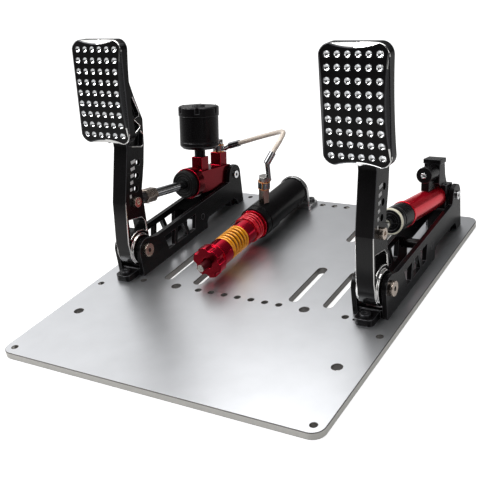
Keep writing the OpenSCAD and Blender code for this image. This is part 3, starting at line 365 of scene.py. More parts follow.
# Painted shade inside the hexagon sockets of the pivot shafts and the rear pins
SOCKET_PAINTED_SHADE = Finish("socket_painted_shade", (0.03, 0.027, 0.025), 0.4, 0.6)
CHROME = Finish("chrome", (0.88, 0.89, 0.9), 0.07, 1.0, bump=0.004, mottle=0.04, uneven=0.03)
BRONZE = Finish("bronze", (0.5, 0.36, 0.24), 0.26, 1.0, mottle=0.15)
COPPER = Finish("copper", (0.86, 0.4, 0.17), 0.22, 1.0, mottle=0.15)
BLACK_RUBBER = Finish(
    "black_rubber", (0.006, 0.006, 0.006), 0.36,
    grain=Grain.RUBBERY, bump=0.03, mottle=0.2, specular=0.15,
)
BLACK_PLASTIC = Finish(
    "black_plastic", (0.004, 0.0035, 0.004), 0.25,
    grain=Grain.MOULDED, bump=0.02, mottle=0.2, specular=0.14,
)
# Painted highlight: a lighter black on the broken edges of the moulded parts
PLASTIC_RIM_HIGHLIGHT = Finish("plastic_rim_painted_highlight", (0.03, 0.03, 0.032), 0.2, grain=Grain.MOULDED, specular=0.3)
CREAM_POLYMER = Finish("cream_polymer", (0.88, 0.84, 0.68), 0.4, grain=Grain.MOULDED, mottle=0.08)
YELLOW_SPRING = Finish(
    "yellow_spring", (1.0, 0.4, 0.012), 0.2, 0.25,
    grain=Grain.MOULDED, mottle=0.14, uneven=0.05, coat=0.6,
)
RED_SPRING = Finish(
    "red_spring", (0.82, 0.01, 0.03), 0.2, 0.25,
    grain=Grain.MOULDED, mottle=0.14, uneven=0.05, coat=0.6,
)
RED_SHADED = Finish("red_shaded", (0.07, 0.002, 0.005), 0.4, 0.3, grain=Grain.TURNED)
SPRING_STEEL = Finish("spring_steel", (0.5, 0.5, 0.52), 0.3, 1.0, bump=0.02, mottle=0.12)
# Painted highlight: a lighter grey on the pad's side chamfers
PAD_CHAMFER_HIGHLIGHT = Finish("pad_chamfer_painted_highlight", (0.03, 0.03, 0.032), 0.33, 0.5)
ETCHED_MARK = Finish("etched_mark", (0.62, 0.62, 0.62), 0.45)
BRAIDED_HOSE = BraidFinish()


# Bench work


def add_object(name: str, data: bpy.types.ID) -> Piece:
    """Puts a new object into the scene.

    Args:
        name: its name
        data: its mesh, camera or lamp

    Returns:
        The new object.
    """
    made = bpy.data.objects.new(name, data)
    bpy.context.scene.collection.objects.link(made)
    return made


def hold_only(piece: Piece) -> None:
    """Deselects everything and makes one object active and selected.

    Args:
        piece: the object to work on
    """
    if bpy.context.mode != "OBJECT":
        bpy.ops.object.mode_set(mode="OBJECT")
    bpy.ops.object.select_all(action="DESELECT")
    piece.select_set(True)
    bpy.context.view_layer.objects.active = piece


def apply_modifiers(piece: Piece) -> None:
    """Applies all modifiers of a piece, in order.

    Args:
        piece: the object whose modifiers are applied
    """
    hold_only(piece)
    for modifier in list(piece.modifiers):
        bpy.ops.object.modifier_apply(modifier=modifier.name)


def paint(piece: Piece, finishes: Iterable[Coating]) -> None:
    """Puts finishes into a piece's material slots.

    Args:
        piece: the object to paint
        finishes: the finish of each slot, in order
    """
    piece.data.materials.clear()
    for finish in finishes:
        piece.data.materials.append(finish.material())


def paint_faces(piece: Piece, index: int, test: FaceTest, among: int | None = None) -> None:
    """Gives a material slot to the faces that pass a test.

    Args:
        piece: the object to paint
        index: number of the material slot
        test: called with each face's corners and normal
        among: only faces that have this slot now are tested
    """
    points = piece.data.vertices
    for face in piece.data.polygons:
        if among is not None and face.material_index != among:
            continue
        if test([points[i].co for i in face.vertices], face.normal):
            face.material_index = index


def middle(corners: list[Vector]) -> Vector:
    """Returns the mean of a face's corners."""
    return sum(corners, Vector()) / len(corners)


def in_socket(pin: Point, radius: float) -> FaceTest:
    """Makes the test for the faces of a hexagon socket in the head of a pin along X.

    Args:
        pin: a point on the pin's axis, in metres
        radius: radius of the socket, in millimetres

    Returns:
        A test that is true for faces with every corner inside the radius.
    """
    return lambda corners, normal: all(
        math.hypot(p.y - pin[1], p.z - pin[2]) < radius * MM for p in corners
    )


def smooth(piece: Piece, angle: float) -> None:
    """Shades a piece smooth, with its edges over an angle in degrees left sharp."""
    hold_only(piece)
    bpy.ops.object.shade_smooth_by_angle(angle=math.radians(angle))


def settle(piece: Piece, node: str, replaces: bool = True) -> Piece:
    """Hangs a finished piece on a node's body.

    Args:
        piece: the finished object
        node: the node that it stands for or belongs to
        replaces: whether it takes the node's place

    Returns:
        The piece.
    """
    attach(piece, BODY_OF[node])
    if replaces:
        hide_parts(node)
    LOG.info("%s rides on %s, %d faces", piece.name, BODY_OF[node], len(piece.data.polygons))
    return piece


def merged_copy(node: str, name: str) -> Piece:
    """Copies a node's mesh, merges its points and clears the seams from its flats.

    Args:
        node: the node that is copied
        name: name of the new piece

    Returns:
        The new piece, with its place in its mesh.
    """
    piece = add_object(name, frame["nodes"][node].data.copy())
    piece.data.name = name
    hold_only(piece)
    bpy.ops.object.mode_set(mode="EDIT")
    bpy.ops.mesh.select_all(action="SELECT")
    bpy.ops.mesh.remove_doubles(threshold=MERGE_DISTANCE)
    bpy.ops.mesh.dissolve_limited(angle_limit=math.radians(FLAT_ANGLE))
    bpy.ops.object.mode_set(mode="OBJECT")
    return piece


def sharp_edges(piece: Piece, angle: float) -> list[int]:
    """Finds the sharp edges of a piece.

    Args:
        piece: the object
        angle: edges over this angle are sharp, in degrees

    Returns:
        Numbers of the edges whose two faces meet at more than the angle.
    """
    normals: dict[tuple[int, int], list[Vector]] = {}
    for face in piece.data.polygons:
        for key in face.edge_keys:
            normals.setdefault(key, []).append(face.normal)
    limit = math.cos(math.radians(angle))
    found = []
    for edge in piece.data.edges:
        beside = normals.get(tuple(sorted(edge.vertices)), [])
        if len(beside) == 2 and beside[0].dot(beside[1]) < limit:
            found.append(edge.index)
    return found


def dress(
    node: str, width: float, *finishes: Coating, polish: int = 0, rule: EdgeRule | None = None,
    ending: str = "finished",
) -> Piece:
    """Makes the finished piece that stands for one node, painted and with its sharp edges broken.

    Args:
        node: the node that is copied and replaced
        width: width of the broken edges, in millimetres
        finishes: the finish of each material slot, in order
        polish: material slot of the broken edges
        rule: share of the width for an edge, from its middle, all of it if left out
        ending: last word of the piece's name

    Returns:
        The finished piece, with its place in its mesh.
    """
    piece = merged_copy(node, f"{node}_{ending}")
    paint(piece, finishes)
    weights = piece.data.attributes.new("bevel_weight_edge", "FLOAT", "EDGE")
    points = piece.data.vertices
    for index in sharp_edges(piece, SHARP_ANGLE):
        start, end = (points[i].co for i in piece.data.edges[index].vertices)
        weights.data[index].value = 1.0 if rule is None else rule((start + end) / 2)
    broken = piece.modifiers.new("broken_edges", "BEVEL")
    broken.limit_method = "WEIGHT"
    broken.width = width * MM
    broken.segments = 2
    broken.use_clamp_overlap = False
    broken.material = polish
    apply_modifiers(piece)
    smooth(piece, SHADE_ANGLE)
    weighed = piece.modifiers.new("weighed", "WEIGHTED_NORMAL")
    weighed.keep_sharp = True
    weighed.weight = 100
    apply_modifiers(piece)
    return settle(piece, node)


def tube_along(path: list[Vector], radius: float, sides: int, name: str) -> Piece:
    """Sweeps a round tube along a path, with closed ends and a UV map that runs along it.

    Args:
        path: the points of its middle line
        radius: radius of the tube
        sides: sides of its section
        name: name of the piece

    Returns:
        The new piece.
    """
    last = len(path) - 1
    tangents = [
        (path[min(i + 1, last)] - path[max(i - 1, 0)]).normalized() for i in range(last + 1)
    ]
    side = tangents[0].orthogonal().normalized()
    vertices: list[Vector] = []
    for point, tangent in zip(path, tangents):
        side = (side - tangent * side.dot(tangent)).normalized()
        across = tangent.cross(side)
        for k in range(sides):
            turn = 2.0 * math.pi * k / sides
            vertices.append(point + radius * (math.cos(turn) * side + math.sin(turn) * across))
    faces = []
    for i in range(last):
        for k in range(sides):
            here, beside = i * sides + k, i * sides + (k + 1) % sides
            faces.append((here, beside, beside + sides, here + sides))
    mesh = bpy.data.meshes.new(name)
    ends = (tuple(reversed(range(sides))), tuple(range(last * sides, (last + 1) * sides)))
    mesh.from_pydata(vertices, [], [*faces, *ends])
    unwrapped = mesh.uv_layers.new(name=UV_MAP)
    lengths = [0.0]
    for i in range(1, len(path)):
        lengths.append(lengths[-1] + (path[i] - path[i - 1]).length)
    girth = 2.0 * math.pi * radius
    for face in mesh.polygons[: len(faces)]:
        ring, k = divmod(face.index, sides)
        corners = ((k, ring), (k + 1, ring), (k + 1, ring + 1), (k, ring + 1))
        for loop, (column, row) in zip(face.loop_indices, corners):
            unwrapped.data[loop].uv = (column / sides, lengths[row] / girth)
    piece = add_object(name, mesh)
    smooth(piece, 50.0)
    return piece


def join_all(pieces: list[Piece], name: str) -> Piece:
    """Joins pieces into one.

    Args:
        pieces: the pieces, with their places in their meshes
        name: name of the whole

    Returns:
        The joined piece.
    """
    bpy.ops.object.select_all(action="DESELECT")
    for piece in pieces:
        piece.select_set(True)
    bpy.context.view_layer.objects.active = pieces[0]
    bpy.ops.object.join()
    whole = bpy.context.object
    whole.name = name
    return whole


def toward_pedal(tilt: float) -> Vector:
    """Returns the direction from a rear pin to the pedal, from the cylinder's tilt in degrees."""
    angle = math.radians(tilt)
    return Vector((0.0, -math.cos(angle), math.sin(angle)))


# Sub-assemblies


@dataclass
class Studio:
    """Camera, floor, world and lamps. Lengths are in metres and angles in degrees.

    Attributes:
        lens: focal length in millimetres
        lamp_target: what the lamps face
        floor_lift: how bright the floor is to the camera
        floor_mirrored: how bright the floor is in reflections
        bright_side: direction of the brightest part of the surround
        brightness: brightness of the surround, by how near it is to that direction
    """

    azimuth: float = 34.563
    elevation: float = 25.223
    roll: float = -8.314
    distance: float = 1.11714
    target: Point = (-0.07697, 0.0898, 0.008)
    lens: float = 62.708
    lamp_target: Point = (0.0, 0.02, 0.06)
    floor_lift: float = 0.9
    floor_mirrored: float = 0.25
    bright_side: Point = (-0.6, 0.2, 0.77)
    brightness: tuple[Pair, ...] = (
        (0.0, 0.06), (0.5, 0.1), (0.68, 0.27), (0.8, 0.72), (0.9, 1.5), (1.0, 1.2),
    )

    def build(self) -> None:
        """Makes the camera, the floor, the world and the lamps."""
        self._camera()
        self._floor()
        self._world()
        self._lamp("key", (-1.2, -1.0, 2.0), 1.1, 28.0)
        self._lamp("strip", (-1.5, -0.5, 0.7), 0.35, 7.0)
        self._lamp("fill", (1.9, -0.9, 1.1), 1.4, 8.0)
        self._lamp("top", (0.35, 0.15, 1.5), 0.8, 9.0)
        self._lamp("corner", (-0.105, 0.196, 0.5), 0.28, 0.38)

    def _camera(self) -> None:
        """Places the camera at the photograph's angle, turned about its own line of sight."""
        a, e, r = (math.radians(v) for v in (self.azimuth, self.elevation, self.roll))
        back = Vector((math.sin(a) * math.cos(e), -math.cos(a) * math.cos(e), math.sin(e)))
        right = Vector((math.cos(a), math.sin(a), 0.0))
        up = back.cross(right)
        turned_right = right * math.cos(r) + up * math.sin(r)
        turned_up = up * math.cos(r) - right * math.sin(r)
        data = bpy.data.cameras.new("camera")
        data.lens = self.lens
        data.sensor_width = 36.0
        data.clip_start = 0.05
        camera = add_object("camera", data)
        facing = Matrix((turned_right, turned_up, back)).transposed().to_4x4()
        place = Vector(self.target) + back * self.distance
        camera.matrix_world = Matrix.Translation(place) @ facing
        bpy.context.scene.camera = camera

    def _floor(self) -> None:
        """Lays a wide pale floor that stays white in view and keeps the soft shadow."""
        bpy.ops.mesh.primitive_plane_add(size=14.0, location=(0.0, 0.0, -0.0006))
        floor = bpy.context.object
        floor.name = "floor"
        made = bpy.data.materials.new("floor_white")
        made.use_nodes = True
        graph = Graph(made.node_tree)
        place = graph.add("TexCoord").outputs["Object"]
        noise = graph.add("TexNoise", {"Vector": place, "Scale": 6.0}).outputs["Fac"]
        seen = graph.add("LightPath").outputs
        mirrored = graph.calculate("MULTIPLY", seen["Is Glossy Ray"], self.floor_mirrored)
        feeds = {
            "Base Color": graph.ramp(noise, ((0.0, (0.3, 0.3, 0.3)), (1.0, (0.32, 0.32, 0.32)))),
            "Roughness": 0.9,
            "Emission Color": WHITE,
            "Emission Strength": graph.calculate(
                "MULTIPLY_ADD", seen["Is Camera Ray"], self.floor_lift, mirrored
            ),
        }
        graph.feed(made.node_tree.nodes["Principled BSDF"], feeds)
        floor.data.materials.append(made)

    def _world(self) -> None:
        """Makes a surround that is white in view and lights the set from high on the left."""
        world = bpy.data.worlds.new("studio")
        bpy.context.scene.world = world
        world.use_nodes = True
        graph = Graph(world.node_tree)
        toward = graph.add("TexCoord").outputs["Generated"]
        aim = {0: toward, 1: Vector(self.bright_side).normalized()}
        nearness = graph.add("VectorMath", aim, operation="DOT_PRODUCT").outputs["Value"]
        greys = [(place, (value, value, value)) for place, value in self.brightness]
        lit = graph.ramp(nearness, greys)
        seen = graph.add("LightPath").outputs["Is Camera Ray"]
        mix = graph.add("Mix", {"Factor": seen, "A": lit, "B": WHITE}, data_type="RGBA")
        graph.feed(world.node_tree.nodes["Background"], {"Color": mix.outputs["Result"]})

    def _lamp(self, name: str, place: Point, size: float, power: float) -> None:
        """Adds a soft square lamp that faces the middle of the set.

        Args:
            name: name of the lamp
            place: where it stands
            size: side of the lamp
            power: its power in watts
        """
        data = bpy.data.lights.new(name, "AREA")
        data.size = size
        data.energy = power
        lamp = add_object(name, data)
        lamp.visible_camera = False
        lamp.location = place
        lamp.rotation_mode = "QUATERNION"
        back = Vector(place) - Vector(self.lamp_target)
        lamp.rotation_quaternion = back.to_track_quat("Z", "Y")


@dataclass
class Hose:
    """Braided hose and its joints at the master cylinder and the pressure unit, in metres.

    Attributes:
        route: points that its middle line goes through
        before: a point that sets its direction at the master cylinder
        after: a point that sets its direction at the pressure unit
    """

    route: tuple[Point, ...] = (
        (-0.126, 0.195, 0.104), (-0.098, 0.199, 0.112), (-0.068, 0.193, 0.122),
        (-0.042, 0.175, 0.132), (-0.035, 0.154, 0.129), (-0.039, 0.138, 0.117),
    )
    before: Point = (-0.150, 0.195, 0.099)
    after: Point = (-0.043, 0.128, 0.102)
    diameter: float = 0.0065
    length: float = 0.139
    steps: int = 7
    sides: int = 20

    def path(self) -> list[Vector]:
        """Smooth middle line of the hose.

        Returns:
            Its points, from the master cylinder to the pressure unit.
        """
        route = [Vector(p) for p in (self.before, *self.route, self.after)]
        points: list[Vector] = []
        for i in range(1, len(route) - 2):
            start, end = route[i], route[i + 1]
            leave, arrive = (route[i + 1] - route[i - 1]) / 2, (route[i + 2] - route[i]) / 2
            for k in range(self.steps):
                t = k / self.steps
                points.append(
                    (2 * t**3 - 3 * t**2 + 1) * start
                    + (t**3 - 2 * t**2 + t) * leave
                    + (3 * t**2 - 2 * t**3) * end
                    + (t**3 - t**2) * arrive
                )
        return [*points, route[-2]]

    def build(self) -> None:
        """Makes the hose and dresses the joints at its ends."""
        path = self.path()
        piece = tube_along(path, self.diameter / 2, self.sides, "braided_hose_run")
        paint(piece, [BRAIDED_HOSE])
        settle(piece, "hose")
        for end in ("master", "port"):
            dress(f"{end}_banjo_bolt", 0.5, BOLT_STEEL)
            dress(f"{end}_washers", 0.3, COPPER)
            dress(f"{end}_hose_end", 0.15, FERRULE_STEEL)


@dataclass
class Carrier:
    """Base plate, side plates, blocks, bars and their screws.

    Attributes:
        rim_reach: how far in the plate's outer walls may lie, in metres
        shaft_socket: radius of the sockets in the pedals' pivot shafts, in millimetres
        pin_socket: radius of the sockets in the rear pins, in millimetres
        frame_nodes: the black pieces of both frames
    """

    rim_reach: float = 0.009
    shaft_socket: float = 3.0
    pin_socket: float = 2.4
    frame_nodes: tuple[str, ...] = (
        "brake_side_outer", "brake_side_inner", "throttle_side_inner", "throttle_side_outer",
        "front_blocks", "rear_blocks", "cross_bars",
    )

    def build(self) -> None:
        """Dresses the plate and the two frames."""
        low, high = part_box("base_plate")
        centre = (low + high) / 2
        inner = (high - low) / 2 - Vector((self.rim_reach, self.rim_reach, 0.0))
        plate = dress(
            "base_plate", 0.7, BLASTED_SILVER, EDGE_LINE, PLATE_BORE_SHADE, PLATE_EDGE, polish=1
        )
        # Painted shade on the walls of the holes and slots; the outer walls then take the edge
        # finish
        paint_faces(plate, 2, lambda corners, normal: abs(normal.z) < 0.1, among=0)
        paint_faces(
            plate,
            3,
            lambda corners, normal: any(
                abs(away) > limit for away, limit in zip((middle(corners) - centre).xy, inner.xy)
            ),
            among=2,
        )
        for node in self.frame_nodes:
            dress(node, 0.5, BLACK_ANODISED, BLACK_EDGE_HIGHLIGHT, polish=1)
        dress("plate_screws", 0.35, DARK_STEEL)
        shafts = dress("pivot_shafts", 0.5, WARM_STEEL, SOCKET_PAINTED_SHADE)
        # Painted shade inside the sockets
        paint_faces(shafts, 1, in_socket(BRAKE_PIVOT, self.shaft_socket))
        pins = dress("rear_pins", 0.35, CHROME, SOCKET_PAINTED_SHADE)
        paint_faces(pins, 1, in_socket(BRAKE_PIN, self.pin_socket))


@dataclass
class Pedal:
    """Arm, pad and bolts of one pedal. Lengths are in millimetres, measured from its pivot.

    Attributes:
        pivot: its pivot, in metres
        lean: how far it leans back, in degrees
        edge_reach: how far in from the arm's sides an edge counts as a side edge
        hub_rim: place forward of which, and height under which, the hub's rim is kept dark as
            painted shade
        hub_low: height of the lowest bright edge
        truss: ends of the bright pocket edges, as Y and Z of each
        truss_reach: how near an edge lies to one of them
        pad_middle: Y and Z of the middle of that face
        pad_depth: depths that part the pad's front rim from its sides and back
        pad_rim: how far in from its sides and ends an edge belongs to its rim
        pad_corner: height of the rim's bright corners, which are a painted highlight
        dimple_pitch: steps between the dimples, sideways and along
        dimple_grid: dimples in a row and in a column
        scallop_start: distance from the pad's middle at which the scallops start
        scallop_facing: range of the forward part of their normals
        scallop_depth: range of their depth
        chamfer_facing: range of the sideways part of the side chamfers' normals
        chamfer_reach: how far in from the pad's sides they lie
        front_line: Y and Z of a point on the arm's front
        mark_width: width of the top bar, and how much each next one loses
        mark_inset: distance of the bars from the arm's front
        mark_size: thickness and height of a bar
    """

    side: str
    pivot: Point
    lean: float
    half_width: float = 10.5
    kink: float = 64.0
    edge_reach: float = 2.2
    hub_rim: Pair = (-8.0, 2.0)
    hub_low: float = -14.0
    truss: tuple[tuple[float, float, float, float], ...] = (
        (20.0, 130.3, 38.9, 123.5), (38.9, 123.5, 41.0, 124.8), (41.2, 142.6, 45.6, 137.3),
        (31.1, 142.9, 41.6, 146.8), (33.4, 159.1, 42.3, 149.1), (36.4, 160.2, 43.2, 160.6),
        (37.7, 186.4, 45.1, 164.2),
    )
    truss_reach: float = 1.6
    face_radius: float = 400.0
    pad_middle: Pair = (-7.65, 204.8)
    pad_tilt: float = 8.0
    pad_half: Pair = (37.0, 60.5)
    pad_depth: Pair = (5.0, 6.5)
    pad_rim: Pair = (8.0, 7.0)
    pad_corner: float = 22.0
    dimple_pitch: Pair = (10.85, 12.5)
    dimple_grid: tuple[int, int] = (6, 9)
    dimple_rim: float = 3.45
    dimple_depth: float = 3.0
    scallop_start: float = 48.0
    scallop_facing: Pair = (-0.985, -0.25)
    scallop_depth: Pair = (0.04, 6.0)
    chamfer_facing: Pair = (0.3, 0.9)
    chamfer_reach: float = 6.0
    front_line: Pair = (-12.3, 65.0)
    front_slope: float = 22.8 / 65.0
    marks: int = 6
    mark_top: float = 111.0
    mark_pitch: float = 7.9
    mark_width: Pair = (9.0, 1.15)
    mark_inset: float = 8.6
    mark_size: Pair = (0.12, 3.9)

    def local(self, point: Vector) -> Vector:
        """Turns a point in metres into the arm's own millimetres, with the lean taken out."""
        apart = (point - Vector(self.pivot)) / MM
        return Matrix.Rotation(math.radians(-self.lean), 3, "X") @ apart

    def world(self, point: Vector) -> Vector:
        """Turns a point in the arm's own millimetres into the model's metres."""
        return Vector(self.pivot) + Matrix.Rotation(math.radians(self.lean), 3, "X") @ point * MM

    def build(self) -> None:
        """Makes the arm, the pad, the marks and the small parts."""
        self._arm()
        self._pad()
        self._marks()
        dress(f"{self.side}_clevis_bolt", 0.4, WARM_STEEL)
        dress(f"{self.side}_pad_screws", 0.3, DARK_STEEL)
        dress(f"{self.side}_pivot_bushes", 0.3, BRONZE)

    def _near_truss(self, at: Vector) -> bool:
        """Tells whether a point lies on one of the bright edges of the head's pockets.

        Args:
            at: a point in the arm's own millimetres

        Returns:
            True close to a listed edge.
        """
        for y0, z0, y1, z1 in self.truss:
            along = Vector((y1 - y0, z1 - z0))
            reach = Vector((at.y - y0, at.z - z0))
            share = max(0.0, min(1.0, reach.dot(along) / along.length_squared))
            if (reach - share * along).length < self.truss_reach:
                return True
        return False

    def _bright(self, point: Vector) -> bool:
        """Tells whether an edge of the arm is machined bright.

        Args:
            point: middle of the edge, in metres

        Returns:
            True for the side edges under the kink, the window, the hub's rim and the pocket edges,
            but not the part of the hub's rim left dark as painted shade.
        """
        at = self.local(point)
        inside = abs(at.x) < self.half_width - self.edge_reach
        # Painted shade: this stretch of the hub's polished rim is left dark
        hub_painted_shade = at.y > self.hub_rim[0] and at.z < self.hub_rim[1]
        if inside or hub_painted_shade:
            return False
        return self.hub_low < at.z < self.kink or self._near_truss(at)

    def _arm(self) -> None:
        """Copies the arm, with its lower edges and the window machined bright."""
        piece = dress(
            f"{self.side}_arm", 1.1, BLACK_ANODISED, MACHINED_EDGE, BLACK_EDGE_HIGHLIGHT, BLACK_POLISHED,
            polish=1, rule=lambda mid: 1.0 if self._bright(mid) else 0.4, ending="machined",
        )
        paint_faces(piece, 2, lambda corners, normal: not self._bright(middle(corners)), among=1)
        paint_faces(
            piece, 3,
            lambda corners, normal: normal.y < -0.8 and self.local(middle(corners)).z < self.kink,
            among=0,
        )

    def _on_pad(self, point: Vector) -> Vector:
        """Place of a point on the pad.

        Args:
            point: a point in metres

        Returns:
            Sideways place, depth under the curved face and height along it, in millimetres.
        """
        at = self.local(point)
        tilt = math.radians(self.pad_tilt)
        axis_y = self.pad_middle[0] + self.face_radius * math.cos(tilt)
        axis_z = self.pad_middle[1] - self.face_radius * math.sin(tilt)
        away = Vector((axis_y - at.y, at.z - axis_z))
        along = self.face_radius * (math.atan2(away.y, away.x) - tilt)
        return Vector((at.x, self.face_radius - away.length, along))

    def _in_dimple(self, corners: list[Vector], normal: Vector) -> bool:
        """Tells whether a face lies wholly inside one of the dimples.

        Args:
            corners: the face's corners
            normal: the face's normal

        Returns:
            True if every corner is nearer to one dimple's middle than its rim.
        """
        places = [self._on_pad(corner) for corner in corners]
        mean = middle(places)
        across, along = self.dimple_pitch
        column, row = math.floor(mean.x / across) + 0.5, round(mean.z / along)
        columns, rows = self.dimple_grid
        if abs(column) > columns / 2 or abs(row) > rows / 2:
            return False
        centre = Vector((column * across, row * along))
        return all(
            (p.xz - centre).length < self.dimple_rim and p.y < self.dimple_depth for p in places
        )

    def _on_scallop(self, corners: list[Vector], normal: Vector) -> bool:
        """Tells whether a face belongs to the scallops at the top and the bottom of the pad.

        Args:
            corners: the face's corners
            normal: the face's normal

        Returns:
            True for the slanted faces beyond the last rows of dimples.
        """
        at = self._on_pad(middle(corners))
        lean = (Matrix.Rotation(math.radians(-self.lean - self.pad_tilt), 3, "X") @ normal).y
        slanted = self.scallop_facing[0] < lean < self.scallop_facing[1] and abs(normal.x) < 0.6
        in_depth = self.scallop_depth[0] < at.y < self.scallop_depth[1]
        return slanted and in_depth and abs(at.z) > self.scallop_start

    def _pad_edge(self, point: Vector) -> float:
        """Breaks only the edges round the pad's front.

        Args:
            point: middle of an edge, in metres

        Returns:
            The share of the full width for that edge.
        """
        at = self._on_pad(point)
        wide, tall = (half - rim for half, rim in zip(self.pad_half, self.pad_rim))
        far_in = abs(at.x) < wide and abs(at.z) < tall
        return 0.0 if far_in or at.y > self.pad_depth[1] else 1.0

    def _off_lit_corners(self, corners: list[Vector], normal: Vector) -> bool:
        """Tells whether a broken edge of the pad stays black.

        Args:
            corners: the face's corners
            normal: the face's normal

        Returns:
            True away from the right-hand corners of its front, which carry a painted highlight.
        """
        at = self._on_pad(middle(corners))
        low = abs(at.z) < self.pad_half[1] - self.pad_corner
        return at.x < 0.0 or low or at.y > self.pad_depth[0]

    def _on_chamfer(self, corners: list[Vector], normal: Vector) -> bool:
        """Tells whether a face belongs to the chamfers along the pad's sides.

        Args:
            corners: the face's corners
            normal: the face's normal

        Returns:
            True for the faces that look half forward and half sideways.
        """
        at = self._on_pad(middle(corners))
        slanted = self.chamfer_facing[0] < abs(normal.x) < self.chamfer_facing[1]
        beside = abs(at.x) > self.pad_half[0] - self.chamfer_reach
        return slanted and beside and at.y < self.pad_depth[0]

    def _pad(self) -> None:
        """Copies the pad, with polished dimples, bright scallops and thin bright corners that are a
        painted highlight.
        """
        piece = dress(
            f"{self.side}_pad", 0.9, BLACK_ANODISED, MACHINED_EDGE, CHROME, MACHINED_EDGE,
            BLACK_EDGE_HIGHLIGHT, PAD_CHAMFER_HIGHLIGHT, polish=3, rule=self._pad_edge, ending="machined",
        )
        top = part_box(f"{self.side}_pad")[1].z
        for vertex in piece.data.vertices:
            vertex.co.z = min(vertex.co.z, top)
        paint_faces(piece, 2, self._in_dimple)
        # Painted highlight: the bright broken edges are kept only at the right-hand corners of the
        # front
        paint_faces(piece, 4, self._off_lit_corners, among=3)
        paint_faces(piece, 1, self._on_scallop, among=0)
        # Painted highlight on the side chamfers
        paint_faces(piece, 5, self._on_chamfer, among=0)

    def _marks(self) -> None:
        """Adds the row of etched scale bars beside the leverage holes, on both sides of the arm."""
        thickness, tall = self.mark_size
        for hand, sign in (("right", 1.0), ("left", -1.0)):
            bars = []
            for i in range(self.marks):
                height = self.mark_top - self.mark_pitch * i
                width = self.mark_width[0] - self.mark_width[1] * i
                front = self.front_line[0] + (height - self.front_line[1]) * self.front_slope
                across = sign * (self.half_width + thickness / 4)
                centre = Vector((across, front + self.mark_inset + width / 2, height))
                bpy.ops.mesh.primitive_cube_add(size=1.0)
                bar = bpy.context.object
                bar.scale = (thickness, width, tall)
                bpy.ops.object.transform_apply(scale=True)
                for vertex in bar.data.vertices:
                    vertex.co = self.world(vertex.co + centre)
                bars.append(bar)
            scale = join_all(bars, f"{self.side}_arm_scale_{hand}")
            paint(scale, [ETCHED_MARK])
            settle(scale, f"{self.side}_arm", replaces=False)


@dataclass(frozen=True)
class CoilSpring:
    """Coil spring with closed ends, along Y if no other axis is given. Lengths are in millimetres.

    Attributes:
        start: middle of the end that stays, in metres
        joint: the joint that shortens it; not used
        keep: share of its length that is left at that joint's limit; not used
        closed: turns at each end that lie close
        closing: how sharply the close turns leave the flat, as a power
        axis: direction from its start to its other end
    """

    name: str
    node: str
    finish: Finish
    start: Point
    length: float
    outer_radius: float
    wire: float
    turns: float
    joint: str
    keep: float
    closed: float = 0.7
    closing: float = 1.2
    axis: Point = (0.0, 1.0, 0.0)
    turn_steps: int = 28
    sides: int = 12

    def path(self) -> list[Vector]:
        """Middle line of the wire, with a close part of a turn at each end.

        Returns:
            Its points in metres.
        """
        steps = int(self.turn_steps * self.turns)
        radius = self.outer_radius - self.wire / 2
        lead = self.wire * self.closed**self.closing
        rise = self.length - self.wire - 2 * lead
        along = Vector(self.axis).to_track_quat("Y", "Z")
        points = []
        for i in range(steps + 1):
            turn = self.turns * i / steps
            if turn < self.closed:
                height = self.wire * turn**self.closing
            elif turn > self.turns - self.closed:
                height = self.length - self.wire - self.wire * (self.turns - turn) ** self.closing
            else:
                height = lead + rise * (turn - self.closed) / (self.turns - 2 * self.closed)
            angle = 2.0 * math.pi * turn
            x, z = radius * math.cos(angle), radius * math.sin(angle)
            at = Vector((x, height + self.wire / 2, z)) * MM
            points.append(Vector(self.start) + along @ at)
        return points

    def build(self) -> None:
        """Makes the spring."""
        piece = tube_along(self.path(), self.wire / 2 * MM, self.sides, self.name)
        paint(piece, [self.finish])
        settle(piece, self.node)
        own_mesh(piece)


def return_spring(
    node: str, pin: Point, tilt: float, span: Pair, radius: float, joint: str, travel: float,
) -> CoilSpring:
    """Describes the spring inside a cylinder that hangs on a rear pin. Lengths are in millimetres.

    Args:
        node: the node that it replaces
        pin: the rear pin, in metres
        tilt: how far the cylinder rises to the front, in degrees
        span: distances of its rear and front ends from the pin
        radius: its outer radius
        joint: the sliding joint that shortens it
        travel: how far the joint slides

    Returns:
        The spring, not built yet.
    """
    forward = toward_pedal(tilt)
    length = span[1] - span[0]
    return CoilSpring(
        name=f"{node}_coil", node=node, finish=SPRING_STEEL,
        start=tuple(Vector(pin) + forward * span[0] * MM), length=length, outer_radius=radius,
        wire=1.9, turns=8.0, joint=joint, keep=1.0 - travel / length, axis=tuple(forward),
    )


